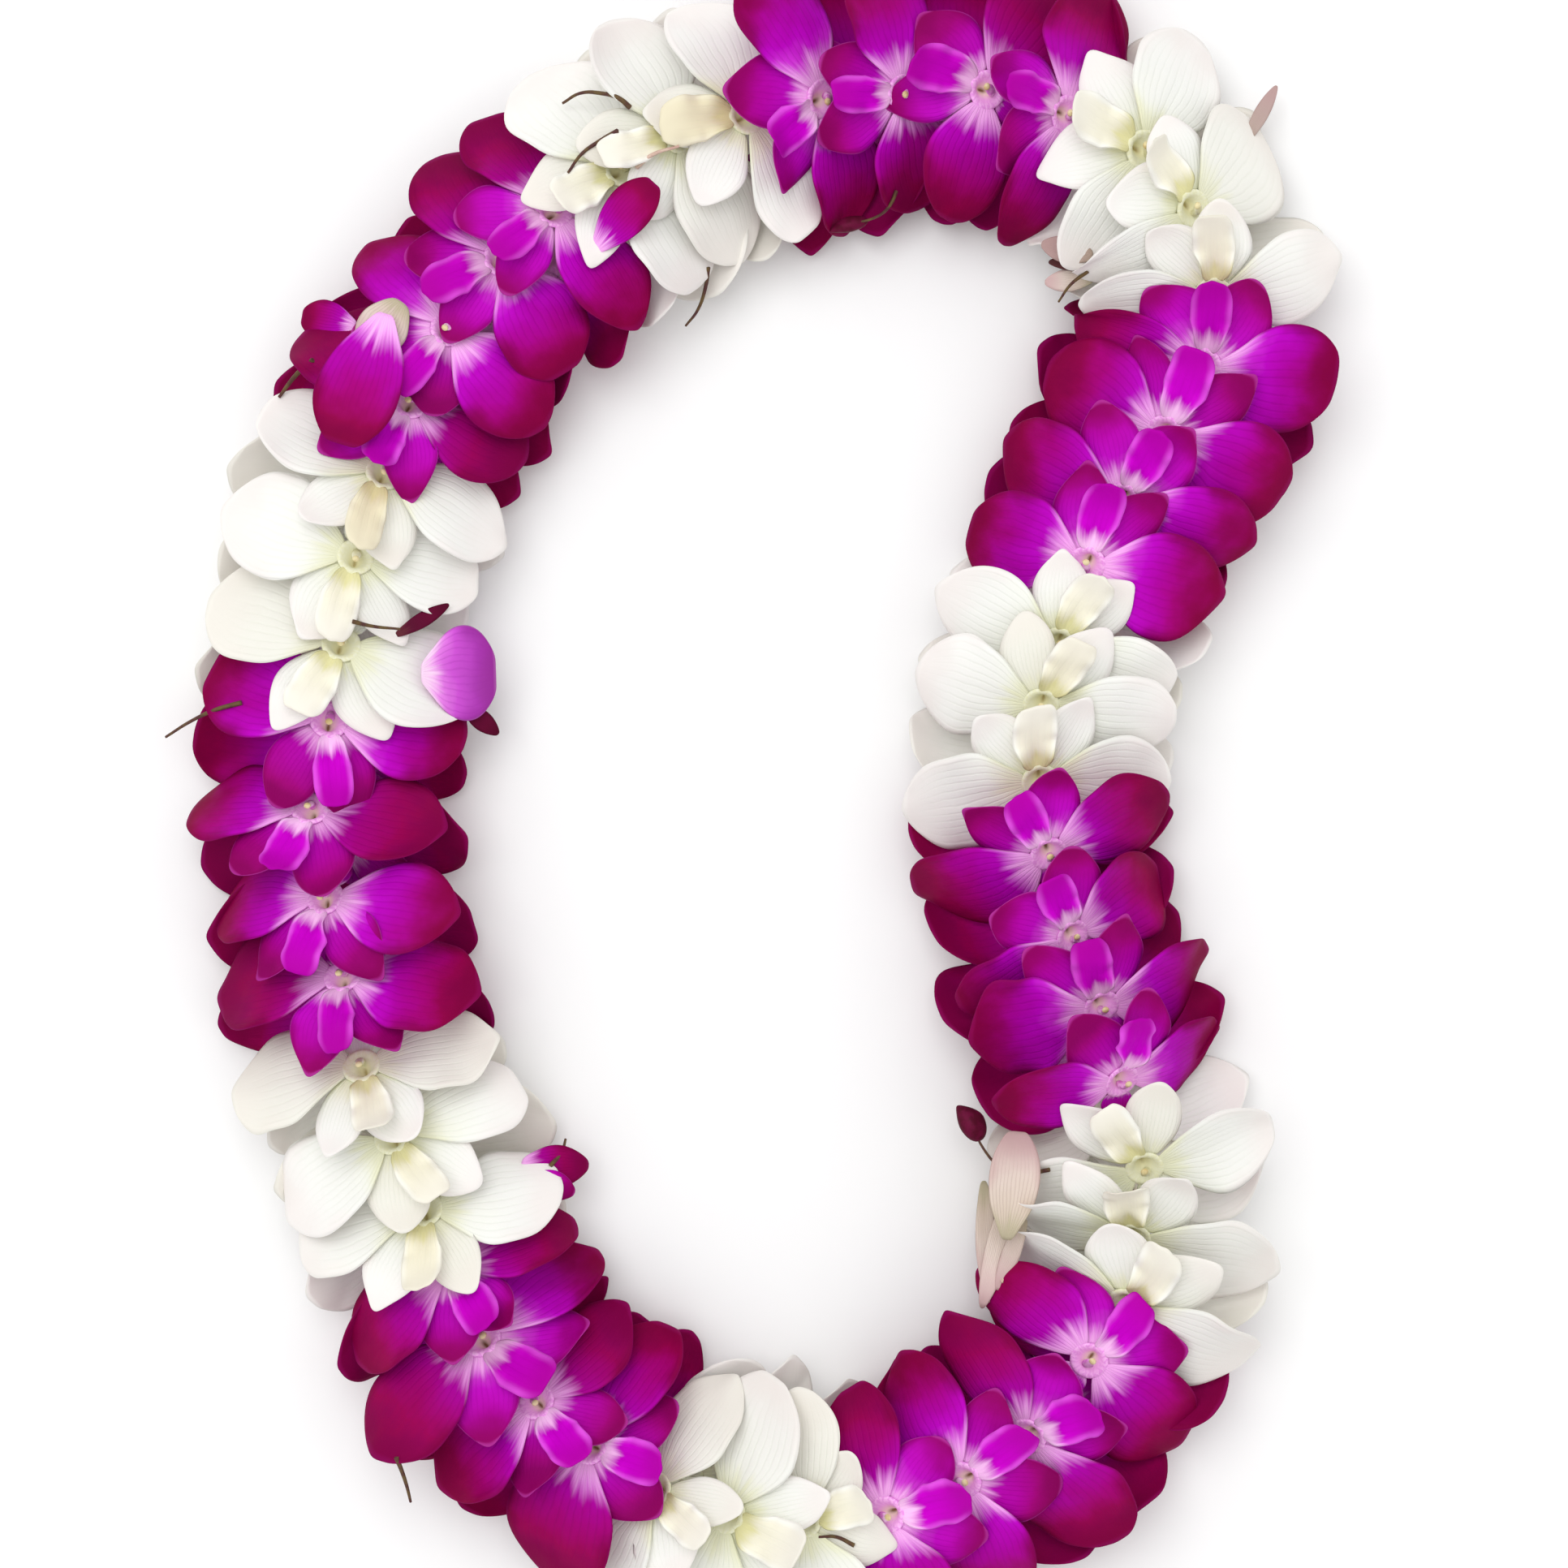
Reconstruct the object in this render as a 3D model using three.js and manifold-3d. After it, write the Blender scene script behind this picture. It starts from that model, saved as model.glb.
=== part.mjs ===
// Fresh flower lei: purple and white orchid blooms in alternating bands, strung on one tied thread.
// The blooms lie in two rows, one facing up and one facing down, and every lip points
// counter-clockwise over the next bloom. The origin is on the surface, under the middle of the loop.
import * as THREE from 'three';
import { mergeVertices } from 'three/addons/utils/BufferGeometryUtils.js';
import Module from 'manifold-3d';

// Driving dimensions, in millimetres and degrees
const threadRadius = 0.6;
const threadSides = 5;
const threadSteps = 76;
const threadHeight = 16.6;
const boreRadius = 1.8;
const boreSides = 4;
const boreLength = 14;
const bendReach = 14;
const knotRadius = 1.7;
const tailLength = 9;

const throatRadius = 4.1;
const throatHeight = 11.5;
const waistRadius = 2.8;
const backRowOffset = 8;
const lean = 28;
const bladeThickness = 0.75;
const columnLength = 6;
const creaseShare = 0.55;

// Below this height the blooms are pressed flatter by the surface they lie on
const pressedBelow = 9;
const pressedShare = 0.5;

// How much one bloom differs from the next
const rollWander = 12;
const rollWaves = 5;
const rollStart = 1.2;
const rollJitter = 4;
const leanJitter = 3;
const turnJitter = 5;
const placeJitter = 1.0;
const sizeJitter = 0.04;
const bendJitter = 1.2;

// The thread's route seen from above, counter-clockwise from the top of the loop
const routePoints = [
  [53, 184], [25, 182], [-4, 175], [-31, 162], [-56, 145], [-77, 123],
  [-93, 97], [-104, 69], [-110, 40], [-113, 11], [-112, -18], [-108, -45],
  [-102, -69], [-94, -91], [-88, -110], [-79, -131], [-66, -150], [-47, -166],
  [-23, -178], [3, -185], [30, -185], [56, -176], [78, -159], [92, -137],
  [98, -113], [95, -89], [88, -64], [79, -39], [73, -13], [73, 13],
  [79, 41], [89, 67], [102, 93], [114, 120], [111, 148], [93, 169],
  [74, 180],
];

// Bands in the thread's direction, each with its share of the thread in millimetres
const bands = [
  { colour: 'white', length: 54 },
  { colour: 'purple', length: 83 },
  { colour: 'white', length: 66 },
  { colour: 'purple', length: 90 },
  { colour: 'white', length: 62 },
  { colour: 'purple', length: 76 },
  { colour: 'white', length: 62 },
  { colour: 'purple', length: 88 },
  { colour: 'white', length: 56 },
  { colour: 'purple', length: 84 },
  { colour: 'white', length: 56 },
  { colour: 'purple', length: 80 },
  { colour: 'white', length: 60 },
  { colour: 'purple', length: 88 },
];
const pairsInBand = { purple: 4, white: 3 };

// Where the first band starts, measured along the thread from its knot
const firstBandStart = 48;

// The five perianth lobes and the lip, counter-clockwise round the throat from the back sepal.
// The petals and the lip are the inner whorl, which lies one blade's thickness over the sepals.
// An outline gives, from the root to the tip, shares of the length and of the half width.
const petalOutline = [[0.36, 0.88], [0.8, 0.9], [1, 0]];
const sepalOutline = [[0.45, 1], [1, 0]];
const lipOutline = [[0.5, 1], [1, 0.45]];
const backSepal = {
  inner: false, outline: sepalOutline, angle: 90, length: 8.5, halfWidth: 5.5,
  rise: 0, bend: 1, crease: 0,
};
const petal = {
  inner: true, outline: petalOutline, angle: 3, length: 30.5, halfWidth: 14,
  rise: 2.4, bend: -10, crease: 1.2,
};
const sideSepal = {
  inner: false, outline: sepalOutline, angle: -58, length: 22, halfWidth: 7.5,
  rise: -2, bend: -2.5, crease: 0,
};
const lip = {
  inner: true, outline: lipOutline, angle: -90, length: 19, halfWidth: 5.5,
  rise: 5, bend: -1, crease: -1.6,
};
const lobes = [
  backSepal,
  { ...petal, angle: 180 - petal.angle },
  { ...sideSepal, angle: 180 - sideSepal.angle },
  lip,
  sideSepal,
  petal,
];

// Corners of the throat, each between two lobes and listed from the back sepal's first side
const throatCorners = [47, 133, 212, 254, 286, 328];

const finishes = {
  purple: new THREE.MeshStandardMaterial({ color: 0x9a1090, roughness: 0.55, metalness: 0 }),
  white: new THREE.MeshStandardMaterial({ color: 0xf5f5ec, roughness: 0.6, metalness: 0 }),
  thread: new THREE.MeshStandardMaterial({ color: 0xe6e0cf, roughness: 0.8, metalness: 0 }),
};

const wasm = await Module();
wasm.setup();

const radians = (degrees) => (degrees * Math.PI) / 180;
const up = new THREE.Vector3(0, 0, 1);

// A seeded row of numbers between -1 and 1
let draw = 59;
function vary(amount) {
  draw = (draw * 1664525 + 1013904223) % 4294967296;
  return amount * ((draw / 4294967296) * 2 - 1);
}

const route = new THREE.CatmullRomCurve3(
  routePoints.map(([x, y]) => new THREE.Vector3(x, y, threadHeight)),
  true,
  'centripetal',
);
route.arcLengthDivisions = 1200;
const threadLength = route.getLength();

// The place and direction of the thread at a distance from its knot
function along(distance) {
  const share = (((distance / threadLength) % 1) + 1) % 1;
  return { point: route.getPointAt(share), forward: route.getTangentAt(share) };
}

// Solids, joined and cut as closed meshes
function toSolid(positions, triangles) {
  const mesh = new wasm.Mesh({
    numProp: 3,
    vertProperties: new Float32Array(positions),
    triVerts: new Uint32Array(triangles),
  });
  return new wasm.Manifold(mesh);
}

function geometryToSolid(geometry) {
  const bare = geometry.index ? geometry.toNonIndexed() : geometry.clone();
  bare.deleteAttribute('normal');
  bare.deleteAttribute('uv');
  const merged = mergeVertices(bare, 1e-4);
  return toSolid(merged.attributes.position.array, merged.index.array);
}

function solidToGeometry(solid) {
  const mesh = solid.getMesh();
  const geometry = new THREE.BufferGeometry();
  geometry.setAttribute('position', new THREE.BufferAttribute(new Float32Array(mesh.vertProperties), 3));
  geometry.setIndex(new THREE.BufferAttribute(new Uint32Array(mesh.triVerts), 1));
  geometry.computeVertexNormals();
  return geometry;
}

function regularSection(radius, sides) {
  const section = new THREE.Shape();
  for (let corner = 0; corner < sides; corner += 1) {
    const turn = (corner / sides) * Math.PI * 2;
    const x = radius * Math.cos(turn);
    const y = radius * Math.sin(turn);
    if (corner === 0) section.moveTo(x, y);
    else section.lineTo(x, y);
  }
  section.closePath();
  return section;
}

function tube(path, radius, sides, steps) {
  const section = regularSection(radius, sides);
  return new THREE.ExtrudeGeometry(section, { steps, extrudePath: path, bevelEnabled: false });
}

// How sharply the thread bends at a distance: one over the radius, more than 0 to the left
function bendAt(distance) {
  const before = along(distance - bendReach).forward;
  const after = along(distance + bendReach).forward;
  return new THREE.Vector3().crossVectors(before, after).z / (2 * bendReach);
}

// The space round the thread has three directions: along it, to its left and up.
// Blooms are shaped in that space as if the thread were straight and then bent with it,
// so neighbours lie closer together inside a bend. Outside a bend they keep their own width.
const alongThread = new THREE.Vector3(1, 0, 0);
const leftOfThread = new THREE.Vector3(0, 1, 0);

function bentRound(distance, bend, straight, normal, thickness) {
  const spread = Math.max(1, 1 - bend * straight.y);
  const { point, forward } = along(distance + straight.x / spread);
  const left = new THREE.Vector3().crossVectors(up, forward);
  point.addScaledVector(left, straight.y);
  point.z = pressed(point.z + straight.z);
  return point
    .addScaledVector(forward, normal.x * thickness)
    .addScaledVector(left, normal.y * thickness)
    .addScaledVector(up, normal.z * thickness);
}

// The surface below presses the lower blooms flatter
function pressed(height) {
  return height < pressedBelow ? pressedBelow - (pressedBelow - height) * pressedShare : height;
}

// One bloom's own frame: x across it, y towards its back sepal, z out of its face
function bloomFrame(distance, roll, leanBack, turn, size) {
  const out = up.clone().multiplyScalar(Math.cos(roll)).addScaledVector(leftOfThread, Math.sin(roll));
  const x = new THREE.Vector3().crossVectors(out, alongThread);
  const y = alongThread.clone().multiplyScalar(-Math.cos(leanBack)).addScaledVector(out, -Math.sin(leanBack));
  const z = out.clone().multiplyScalar(Math.cos(leanBack)).addScaledVector(alongThread, -Math.sin(leanBack));
  x.applyAxisAngle(z, turn);
  y.applyAxisAngle(z, turn);
  const throat = out.clone().multiplyScalar(throatHeight);
  return { distance, bend: bendAt(distance), throat, x, y, z, size };
}

// A point of the surface between the two whorls, moved by blades' thicknesses out of the bloom's face
function bloomPoint(frame, x, y, z, blades) {
  const straight = frame.throat.clone()
    .addScaledVector(frame.x, x * frame.size)
    .addScaledVector(frame.y, y * frame.size)
    .addScaledVector(frame.z, z * frame.size);
  return bentRound(frame.distance, frame.bend, straight, frame.z, blades * bladeThickness);
}

// A closed mesh that grows vertex by vertex
class Shell {
  constructor() {
    this.positions = [];
    this.triangles = [];
  }

  vertex(point) {
    this.positions.push(point.x, point.y, point.z);
    return this.positions.length / 3 - 1;
  }

  face(a, b, c) {
    this.triangles.push(a, b, c);
  }

  quad(a, b, c, d) {
    this.face(a, b, c);
    this.face(a, c, d);
  }
}

// One lobe, grown from one side of the throat: two faces alike and the rim between them.
// The step between its whorl and the other one closes the throat's side over or under its root.
function addLobe(shell, frame, lobe, rootA, rootB) {
  const angle = radians(lobe.angle + vary(turnJitter));
  const length = lobe.length * (1 + vary(sizeJitter));
  const bend = lobe.bend + vary(bendJitter);
  const rootDistance = throatRadius * 0.9;
  const at = (share, across, blades) => {
    const reach = rootDistance + share * length;
    const sideways = across * lobe.halfWidth;
    const x = reach * Math.cos(angle) - sideways * Math.sin(angle);
    const y = reach * Math.sin(angle) + sideways * Math.cos(angle);
    const z = lobe.rise * share + bend * share * share + lobe.crease * across * across * share;
    return bloomPoint(frame, x, y, z, blades);
  };
  const edge = [
    ...lobe.outline.map(([share, across]) => [share, -across]),
    ...[...lobe.outline].reverse().filter(([, across]) => across > 0),
  ];
  const ring = (blades) => edge.map(([share, across]) => shell.vertex(at(share, across, blades)));
  const [high, low] = lobe.inner ? [1, 0] : [0, -1];
  const [upper, lower] = lobe.inner ? ['top', 'middle'] : ['middle', 'bottom'];
  const top = [rootA[upper], ...ring(high), rootB[upper]];
  const bottom = [rootA[lower], ...ring(low), rootB[lower]];
  const tip = lobe.outline.length;
  const middleTop = lobe.crease === 0 ? top[tip] : shell.vertex(at(creaseShare, 0, high));
  const middleBottom = lobe.crease === 0 ? bottom[tip] : shell.vertex(at(creaseShare, 0, low));
  for (let i = 0; i < top.length; i += 1) {
    const next = (i + 1) % top.length;
    if (top[i] !== middleTop && top[next] !== middleTop) {
      shell.face(middleTop, top[i], top[next]);
      shell.face(middleBottom, bottom[next], bottom[i]);
    }
    if (next !== 0) shell.quad(top[i], bottom[i], bottom[next], top[next]);
  }
  if (lobe.inner) shell.quad(rootA.bottom, rootB.bottom, rootB.middle, rootA.middle);
  else shell.quad(rootA.middle, rootB.middle, rootB.top, rootA.top);
}

// A whole bloom: throat ring, lobes round it and the short column in front
function addBloom(shell, frame) {
  const corners = throatCorners.map((degrees) => {
    const angle = radians(degrees);
    const x = throatRadius * Math.cos(angle);
    const y = throatRadius * Math.sin(angle);
    return {
      top: shell.vertex(bloomPoint(frame, x, y, 0, 1)),
      middle: shell.vertex(bloomPoint(frame, x, y, 0, 0)),
      bottom: shell.vertex(bloomPoint(frame, x, y, 0, -1)),
    };
  });
  lobes.forEach((lobe, i) => {
    addLobe(shell, frame, lobe, corners[i], corners[(i + 1) % corners.length]);
  });
  const columnTip = shell.vertex(bloomPoint(frame, 0, -1.5, columnLength, 0));
  corners.forEach((corner, i) => {
    shell.face(columnTip, corner.top, corners[(i + 1) % corners.length].top);
  });
  return corners.map((corner) => corner.bottom);
}

// Two blooms back to back, joined by the necks that the thread pierces
function bloomPair(distance, wander) {
  const roll = radians(wander + vary(rollJitter));
  const size = () => 1 + vary(sizeJitter);
  const front = bloomFrame(
    distance + vary(placeJitter), roll, radians(lean + vary(leanJitter)), radians(vary(turnJitter)), size(),
  );
  const back = bloomFrame(
    distance + backRowOffset + vary(placeJitter),
    roll + Math.PI,
    radians(lean + vary(leanJitter)),
    radians(vary(turnJitter)),
    size(),
  );
  const shell = new Shell();
  const frontRing = addBloom(shell, front);
  const backRing = addBloom(shell, back);
  const middle = along(distance + backRowOffset / 2);
  const left = new THREE.Vector3().crossVectors(up, middle.forward);
  const across = left.clone().multiplyScalar(Math.cos(roll)).addScaledVector(up, -Math.sin(roll));
  const waist = throatCorners.map((degrees) => {
    const angle = radians(degrees);
    const point = middle.point.clone()
      .addScaledVector(across, waistRadius * Math.cos(angle))
      .addScaledVector(middle.forward, -waistRadius * Math.sin(angle));
    return shell.vertex(point);
  });
  const count = throatCorners.length;
  for (let i = 0; i < count; i += 1) {
    const next = (i + 1) % count;
    const mirrored = (count + 1 - i) % count;
    const mirroredNext = (count + 1 - next) % count;
    shell.quad(frontRing[i], waist[i], waist[next], frontRing[next]);
    shell.quad(waist[i], backRing[mirrored], backRing[mirroredNext], waist[next]);
  }
  const pair = toSolid(shell.positions, shell.triangles);
  const bore = geometryToSolid(tube(
    new THREE.LineCurve3(
      middle.point.clone().addScaledVector(middle.forward, -boreLength / 2),
      middle.point.clone().addScaledVector(middle.forward, boreLength / 2),
    ), boreRadius, boreSides, 1,
  ));
  return largestPart(pair.subtract(bore).subtract(belowSurface));
}

function largestPart(solid) {
  const parts = solid.decompose();
  return parts.reduce((best, part) => (part.volume() > best.volume() ? part : best));
}

// Everything under the surface that the lei lies on
const belowSurface = geometryToSolid(new THREE.BoxGeometry(600, 700, 100).translate(0, 0, -50));

// The thread, from its knot once round the loop and back into the knot
class ThreadPath extends THREE.Curve {
  getPoint(t, target = new THREE.Vector3()) {
    const hidden = knotRadius * 0.5;
    return target.copy(along(knotDistance + hidden + t * (threadLength - 2 * hidden)).point);
  }
}

function thread() {
  const start = along(knotDistance);
  const left = new THREE.Vector3().crossVectors(up, start.forward);
  const loop = geometryToSolid(tube(new ThreadPath(), threadRadius, threadSides, threadSteps));
  const knot = geometryToSolid(
    new THREE.SphereGeometry(knotRadius, 6, 4).translate(start.point.x, start.point.y, start.point.z),
  );
  const tails = [1, -1].map((side) => {
    const direction = left.clone().multiplyScalar(0.85 * side).addScaledVector(start.forward, 0.5);
    const end = start.point.clone().addScaledVector(direction, tailLength);
    return geometryToSolid(tube(new THREE.LineCurve3(start.point, end), threadRadius, threadSides, 1));
  });
  return tails.reduce((solid, tail) => solid.add(tail), loop.add(knot));
}

function namedMesh(name, solid, finish) {
  const mesh = new THREE.Mesh(solidToGeometry(solid), finish);
  mesh.name = name;
  return mesh;
}

// Where each pair of blooms sits on the thread
const bandsTotal = bands.reduce((sum, band) => sum + band.length, 0);
const pairs = [];
let bandStart = firstBandStart;
bands.forEach((band, bandIndex) => {
  const length = (band.length / bandsTotal) * threadLength;
  const count = pairsInBand[band.colour];
  for (let i = 0; i < count; i += 1) {
    const distance = bandStart + ((i + 0.5) / count) * length;
    const name = `${band.colour}_blooms_${String(bandIndex + 1).padStart(2, '0')}_${i + 1}`;
    pairs.push({ name, colour: band.colour, distance });
  }
  bandStart += length;
});

// The knot is tied between the last two pairs
const lastTwo = pairs.slice(-2);
const knotDistance = (lastTwo[0].distance + lastTwo[1].distance + backRowOffset) / 2;

const lei = new THREE.Group();
lei.add(namedMesh('thread', thread(), finishes.thread));
pairs.forEach(({ name, colour, distance }) => {
  const wander = rollWander * Math.sin((distance / threadLength) * Math.PI * 2 * rollWaves + rollStart);
  lei.add(namedMesh(name, bloomPair(distance, wander), finishes[colour]));
});

export default lei;
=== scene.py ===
import math
import random

import bmesh
import bpy
import numpy as np
from mathutils import Euler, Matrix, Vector
from mathutils.bvhtree import BVHTree


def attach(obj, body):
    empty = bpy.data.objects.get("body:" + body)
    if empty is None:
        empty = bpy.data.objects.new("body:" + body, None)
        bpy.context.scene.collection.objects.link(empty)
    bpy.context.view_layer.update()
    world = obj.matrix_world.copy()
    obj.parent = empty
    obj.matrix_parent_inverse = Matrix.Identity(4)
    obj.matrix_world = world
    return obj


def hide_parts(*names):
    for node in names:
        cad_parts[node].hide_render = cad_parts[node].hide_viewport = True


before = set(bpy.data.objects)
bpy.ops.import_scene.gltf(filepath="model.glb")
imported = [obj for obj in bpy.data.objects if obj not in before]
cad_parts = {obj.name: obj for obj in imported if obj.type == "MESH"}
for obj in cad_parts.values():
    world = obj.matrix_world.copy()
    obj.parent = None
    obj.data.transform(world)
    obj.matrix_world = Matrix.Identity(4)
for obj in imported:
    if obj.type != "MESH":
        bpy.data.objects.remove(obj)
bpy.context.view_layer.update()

# The view: straight down on the loop, as far away as its middle height asks for, and the light
IMAGE_MIDDLE = (0.0060, 0.0031)
IMAGE_SPAN = 0.4057
BLOOM_LEVEL = 0.025
CAMERA_LENS = 85.0
SENSOR_WIDTH = 36.0
VIEW_REACH = 20
FLOOR_SIZE = 6
FLOOR_WHITE = (0.96, 0.96, 0.96)
KEY_PLACE = (-0.35, 0.5, 1.8)
KEY_SIZE = 1.6
KEY_POWER = 14
SKY_STRENGTH = 0.85

# The thread, its knot and the blooms' places on it
THREAD_RADIUS = 0.0006
THREAD_HEIGHT = 0.0166
PLY_COUNT = 3
PLY_DEPTH = 0.22
TWIST_PITCH = 0.0042
THREAD_SIDES = 9
STEPS_PER_TWIST = 7
KNOT_RADIUS = 0.0017
KNOT_TIGHT = 0.22
PULLED_THIN = 0.9
KNOT_STEPS = 60
TAIL_LENGTH = 0.009
TAIL_ASIDE = 0.85
TAIL_AHEAD = 0.5
TAIL_THIN = 0.95
TAIL_SAG = 0.0004
TAIL_STEPS = 18
BORE_RADIUS = 0.0016
BEND_REACH = 0.014
FIRST_BAND_START = 0.048

# The thread's route seen from above in millimetres, counter-clockwise from the top of the loop
ROUTE_POINTS = np.array([
    (53, 184), (25, 182), (-4, 175), (-31, 162), (-56, 145), (-77, 123), (-93, 97), (-104, 69),
    (-110, 40), (-113, 11), (-112, -18), (-108, -45), (-102, -69), (-94, -91), (-88, -110), (-79, -131),
    (-66, -150), (-47, -166), (-23, -178), (3, -185), (30, -185), (56, -176), (78, -159), (92, -137),
    (98, -113), (95, -89), (88, -64), (79, -39), (73, -13), (73, 13), (79, 41), (89, 67), (102, 93),
    (114, 120), (111, 148), (93, 169), (74, 180),
]) / 1000

# Bands in the thread's direction, each with its share of the thread's length
BANDS = [
    ("white", 0.054), ("purple", 0.083), ("white", 0.066), ("purple", 0.090), ("white", 0.062),
    ("purple", 0.076), ("white", 0.062), ("purple", 0.088), ("white", 0.056), ("purple", 0.084),
    ("white", 0.056), ("purple", 0.080), ("white", 0.060), ("purple", 0.088),
]
PAIRS_IN_BAND = {"purple": 4, "white": 3}

# One bloom
THROAT_RADIUS = 0.0041
INNER_RADIUS = THROAT_RADIUS * 0.9
THROAT_HEIGHT = 0.0115
WAIST_RADIUS = 0.0028
BACK_ROW_OFFSET = 0.008
LEAN = 28.0
BLADE_THICKNESS = 0.0005
RIM_SHARE = 0.45
# The petals and the lip lie this far above the sepals' middle surface, and the sepals as far below
WHORL_STEP = 0.00037

# Its column, with heights as shares of the column's length: where it bends over the lip, by how much at
# each bend, and where its wider head and its cap are
COLUMN_LENGTH = 0.006
COLUMN_RADII = (0.0012, 0.0011)
COLUMN_HALF = 0.46
COLUMN_MIDDLE = 0.20
COLUMN_FOOT = 0.0014
COLUMN_TIP = -0.0015
COLUMN_BENDS = (0.2, 0.35, 0.5)
COLUMN_LEAN = 0.0009
HEAD_FROM = 0.4
HEAD_SCALE = (1.35, 1.15, 1)
CAP_AT = 0.62
CAP_RADII = (0.0010, 0.0009, 0.0007)

# The neck's wall: its rings between the thread and either throat, as shares of the throat's height
NECK_SIDES = 24
NECK_FLARE = 1.6
NECK_LEVELS = (-0.86, -0.7, -0.5, -0.22, 0, 0.22, 0.5, 0.7, 0.86)
BORE_SIDES = 14
# Vertices no further apart than this are on one ring
SAME = 1e-6

# The lip's two side lobes: their place and reach along it, how high they stand, how far they close
SIDE_LOBE_PLACE = 0.20
SIDE_LOBE_REACH = 0.24
SIDE_LOBE_RISE = 0.0034
SIDE_LOBE_CLOSED = 0.25

# How deep the surfaces' bumps are, and how many veins and spokes there are
VEIN_DEPTH = 0.00006
LIP_VEIN_DEPTH = 0.00005
BLOTCH_DEPTH = 0.0002
THROAT_BLOTCH_DEPTH = 0.0001
GRAIN_DEPTH = 0.00002
COARSE_GRAIN_DEPTH = 0.00003
VEIN_COUNT = 13.0
LIP_VEIN_COUNT = 7.0
SPOKE_COUNT = 17.0

# Below this height the blooms are pressed flatter by the surface they lie on
PRESSED_BELOW = 0.009
PRESSED_SHARE = 0.5

# How much one bloom differs from the next
ROLL_WANDER = 12.0
ROLL_WAVES = 5
ROLL_START = 1.2
ROLL_JITTER = 4.0
LEAN_JITTER = 3.0
TURN_JITTER = 5.0
PLACE_JITTER = 0.001
SIZE_JITTER = 0.04
BEND_JITTER = 0.0012

# What only shows close up: how far a whole bloom, and then each lobe, strays from its plain shape
OWN_TILT = 14.0
OWN_TURN = 22.0
OWN_SHIFT = 0.0016
OWN_SIZE = 0.06
LOWER_ROW_SHARE = 0.4
# The lower row's lobes lie under the upper row's, so their shade starts this high: the darker tint that this
# gives them is painted shade
LOWER_ROW_PAINTED_SHADE = 0.5
WAYS_TRIED = 18
LAST_WAY_CALMER_BY = 0.6

# The lobes round the throat. Widths are shares of the half width, row by row from root to tip.
# The last line of each gives how much one lobe strays from the next: in turn, width, sideways bow,
# twist, cup, curl of the tip and length of the point.
BACK_SEPAL = {
    "name": "back_sepal", "whorl": -1, "angle": 90, "length": 0.0085, "half_width": 0.0055,
    "rise": 0, "bend": 0.001, "crease": 0, "columns": 2, "widths": [0.55, 0.95, 0.92, 0.30],
    "groove": 0.0002, "groove_width": 0.11, "ruffle": 0.0002, "waves": 1.0,
    "turn": 8, "breadth": 0.14, "bow": 0.0008, "twist": 0.0010, "cup": 0.0010, "curl": 0.0012, "point": 0.08,
}
PETAL = {
    "name": "petal", "whorl": 1, "angle": 3, "length": 0.0305, "half_width": 0.014,
    "rise": 0.0024, "bend": -0.010, "crease": 0.0012, "columns": 4,
    "widths": [0.22, 0.50, 0.82, 0.99, 1.06, 1.03, 0.86, 0.44],
    "groove": 0.0003, "groove_width": 0.11, "ruffle": 0.0009, "waves": 1.7,
    "turn": 11, "breadth": 0.16, "bow": 0.0040, "twist": 0.0044, "cup": 0.0040, "curl": 0.0050, "point": 0.09,
}
SIDE_SEPAL = {
    "name": "side_sepal", "whorl": -1, "angle": -58, "length": 0.022, "half_width": 0.0075,
    "rise": -0.002, "bend": -0.0025, "crease": 0.0003, "columns": 2,
    "widths": [0.42, 0.80, 1.10, 1.12, 0.86, 0.30],
    "groove": 0.0003, "groove_width": 0.11, "ruffle": 0.0004, "waves": 1.1,
    "turn": 11, "breadth": 0.16, "bow": 0.0026, "twist": 0.0026, "cup": 0.0020, "curl": 0.0036, "point": 0.09,
}
LIP = {
    "name": "lip", "whorl": 1, "angle": -90, "length": 0.020, "half_width": 0.0055,
    "rise": 0.005, "bend": -0.001, "crease": -0.0016, "columns": 4,
    "widths": [0.42, 0.90, 1.02, 0.98, 1.00, 0.98, 0.66],
    "groove": 0.0010, "groove_width": 0.30, "ruffle": 0.0007, "waves": 2.4,
    "turn": 14, "breadth": 0.12, "bow": 0.0020, "twist": 0.0016, "cup": 0.0010, "curl": 0.0034, "point": 0.06,
}


def mirrored(lobe):
    return {**lobe, "angle": 180 - lobe["angle"]}


LOBES = [BACK_SEPAL, mirrored(PETAL), mirrored(SIDE_SEPAL), LIP, SIDE_SEPAL, PETAL]

ALONG = np.array([1.0, 0.0, 0.0])
LEFT = np.array([0.0, 1.0, 0.0])
UP = np.array([0.0, 0.0, 1.0])


def srgb(red, green, blue):
    """A colour given as it looks on a screen, 0 to 255, in linear light with full alpha"""
    def linear(value):
        share = value / 255
        return share / 12.92 if share <= 0.04045 else ((share + 0.055) / 1.055) ** 2.4
    return (linear(red), linear(green), linear(blue), 1.0)


# The camera, and what everything in the scene is made with
def in_scene(name, data):
    """A new object with these data, linked into the scene"""
    made = bpy.data.objects.new(name, data)
    bpy.context.scene.collection.objects.link(made)
    return made


def set_all(thing, settings):
    for name, value in settings.items():
        setattr(thing, name, value)


def make_camera():
    camera = in_scene("camera", bpy.data.cameras.new("camera"))
    set_all(camera.data, {"lens": CAMERA_LENS, "sensor_width": SENSOR_WIDTH, "clip_end": VIEW_REACH})
    camera.location = (*IMAGE_MIDDLE, BLOOM_LEVEL + IMAGE_SPAN * CAMERA_LENS / SENSOR_WIDTH)
    bpy.context.scene.camera = camera


make_camera()


# Tools for modelling
def deselect_everything():
    if bpy.context.object and bpy.context.object.mode != "OBJECT":
        bpy.ops.object.mode_set(mode="OBJECT")
    bpy.ops.object.select_all(action="DESELECT")


def make_active(piece):
    deselect_everything()
    piece.select_set(True)
    bpy.context.view_layer.objects.active = piece


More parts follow.
